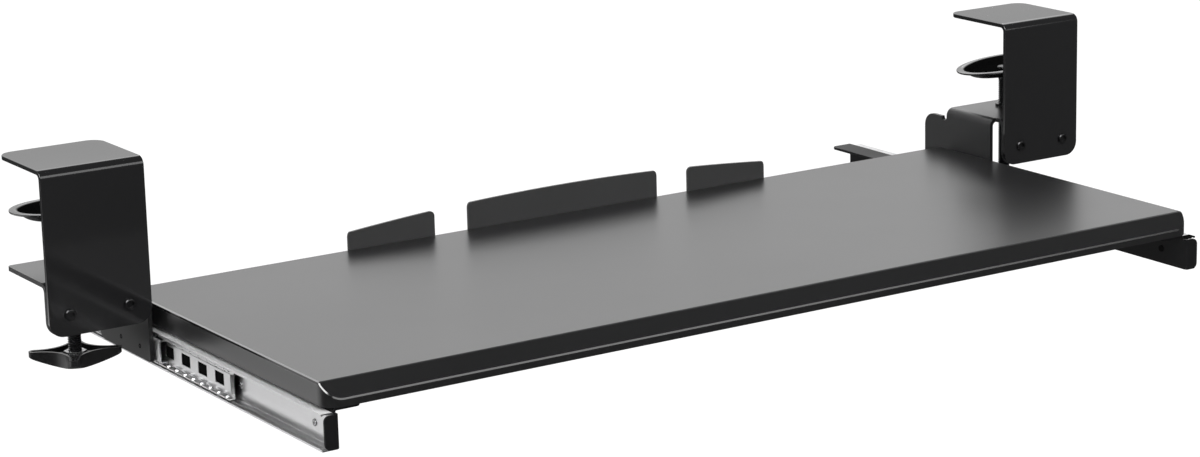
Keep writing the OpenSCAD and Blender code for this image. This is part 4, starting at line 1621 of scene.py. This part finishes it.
@dataclass
class Studio:
    """Camera, floor, backdrop light and lamps."""

    eye: tuple[float, float, float] = (-1.19897, -1.85783, 0.44812)
    yaw: float = 32.634
    pitch: float = 13.916
    roll: float = -1.43
    lens: float = 97.45
    sensor: float = 36.0
    floor_z: float = -0.72
    floor_near: float = 0.10
    floor_far: float = 1.8
    floor_seen: float = 1.08
    floor_glow: float = 0.94
    far_x: Span = (-0.85, -1.15)
    far_y: Span = (0.2, 1.0)
    far_end: Span = (2.4, 2.0)
    wall: float = 0.75
    wall_rise: float = 0.88
    wall_right: float = 0.16
    wall_top: float = 0.7
    wall_up: Span = (0.72, 0.62)
    wall_back: Span = (-0.1, 0.4)
    wall_end: Span = (0.80, 0.70)
    low_band: Span = (0.20, 0.28)
    high_band: Span = (0.28, 0.50)
    right_from: Span = (0.54, 0.64)
    left_until: Span = (-0.3, 0.0)
    key: float = 14.0
    key_edge: Span = (0.90, 0.95)
    key_way: tuple[float, float, float] = (-0.55, -0.42, 0.72)
    ceiling: float = 0.12
    ambient: float = 0.85
    lamp_place: tuple[float, float, float] = (0.85, -3.00, 1.78)
    lamp_target: tuple[float, float, float] = (0.0, 0.0, 1.58)
    lamp_size: Span = (3.7, 1.6)
    lamp_power: float = 58.0

    def build(self) -> None:
        """Sets up the whole studio."""
        bpy.context.scene.view_settings.view_transform = "Standard"
        self.camera()
        self.floor()
        self.world()
        self.lamp()

    def camera(self) -> None:
        """Camera at the place, angle and lens found from the object's edges."""
        yaw, pitch, roll = (math.radians(a) for a in (self.yaw, self.pitch, self.roll))
        forward = Vector((math.sin(yaw) * math.cos(pitch), math.cos(yaw) * math.cos(pitch), -math.sin(pitch)))
        right = Vector((math.cos(yaw), -math.sin(yaw), 0.0))
        up = right.cross(forward)
        right, up = math.cos(roll) * right + math.sin(roll) * up, math.cos(roll) * up - math.sin(roll) * right
        data = bpy.data.cameras.new("camera")
        data.lens = self.lens
        data.sensor_fit = "HORIZONTAL"
        data.sensor_width = self.sensor
        data.clip_end = 60.0
        camera = bpy.data.objects.new("camera", data)
        bpy.context.collection.objects.link(camera)
        turn = Matrix((right, up, -forward)).transposed().to_4x4()
        camera.matrix_world = Matrix.Translation(Vector(self.eye)) @ turn
        bpy.context.scene.camera = camera

    def floor(self) -> None:
        """Pale floor: white to the camera; in reflections, bright far back on the left and dim elsewhere."""
        Bench.clear()
        bpy.ops.mesh.primitive_plane_add(size=30, location=(0, 0, self.floor_z))
        floor = bpy.context.object
        floor.name = "floor"
        material = bpy.data.materials.new("pale_floor")
        material.use_nodes = True
        material.cycles.emission_sampling = "NONE"
        graph = Graph(material.node_tree)
        seen = graph.ray("Camera")
        glossy = graph.ray("Glossy").at_least(graph.ray("Transmission"))
        where = graph.node("ShaderNodeTexCoord", output="Object")
        x, y = graph.part(where, Axis.X), graph.part(where, Axis.Y)
        far = x.ramp(*self.far_x) * y.ramp(*self.far_y) * y.ramp(*self.far_end)
        mirror = far * (self.floor_far - self.floor_near) + self.floor_near
        level = seen * self.floor_seen + (1 - seen) * mirror
        matt = graph.node("ShaderNodeBsdfDiffuse", {}, {"Color": (0.86, 0.86, 0.86, 1.0)})
        glow = graph.node("ShaderNodeEmission", {}, {"Color": WHITE, "Strength": level})
        mixed = graph.node("ShaderNodeMixShader", {}, {0: seen * self.floor_glow + glossy, 1: matt, 2: glow})
        graph.node("ShaderNodeOutputMaterial", {}, {"Surface": mixed})
        floor.data.materials.append(material)

    def world(self) -> None:
        """White to the camera and soft all round; in reflections, a bright wall behind and a dark ceiling."""
        world = bpy.data.worlds.new("studio")
        bpy.context.scene.world = world
        world.use_nodes = True
        world.cycles.sampling_method = "NONE"
        graph = Graph(world.node_tree)
        way = graph.node("ShaderNodeTexCoord", output="Generated")
        across, back, up = (graph.part(way, axis) for axis in Axis)
        seen = graph.ray("Camera")
        glossy = graph.ray("Glossy").at_least(graph.ray("Transmission"))
        wall = up.ramp(*self.wall_up) * back.ramp(*self.wall_back) * across.ramp(*self.wall_end)
        low = up.ramp(*self.low_band)
        right = across.ramp(*self.right_from) * low * self.wall_right
        rise = low * self.wall_rise + up.ramp(*self.high_band) * self.wall_top
        rise = rise * across.ramp(*self.left_until) + right
        towards = across * self.key_way[0] + back * self.key_way[1] + up * self.key_way[2]
        key = towards.ramp(*self.key_edge)
        room = wall * (rise + self.wall - self.ceiling) + self.ceiling + key * self.key
        level = seen + (1 - seen) * (glossy * room + (1 - glossy) * self.ambient)
        light = graph.node("ShaderNodeBackground", {}, {"Color": WHITE, "Strength": level})
        graph.node("ShaderNodeOutputWorld", {}, {"Surface": light})

    def lamp(self) -> None:
        """Soft box high in front of the tray."""
        data = bpy.data.lights.new("soft_box", "AREA")
        data.shape = "RECTANGLE"
        data.size, data.size_y = self.lamp_size
        data.energy = self.lamp_power
        lamp = bpy.data.objects.new("soft_box", data)
        bpy.context.collection.objects.link(lamp)
        lamp.location = self.lamp_place
        aim = Vector(self.lamp_target) - Vector(self.lamp_place)
        lamp.rotation_euler = aim.to_track_quat("-Z", "Y").to_euler()


def main() -> None:
    """Builds every sub-assembly in order."""
    logging.basicConfig(level=logging.INFO, format="%(name)s: %(message)s")
    layout = Layout()
    Studio().build()
    TrayBoard(layout).build()
    screws = {Side.LEFT: (-31.7, 4.0, 90.0, -139.0), Side.RIGHT: (-36.9, 8.6, 139.5, -143.5)}
    for side in Side:
        RailBracket(layout, side).build()
        ClampPlates(layout, side).build()
        ClampScrew(layout, side, *screws[side]).build()
        RailRivets(layout, side).build()
        BallCage(layout, side).build()
        Fittings(side).dress()
    Bench.clear()


if __name__ == "__main__":
    main()
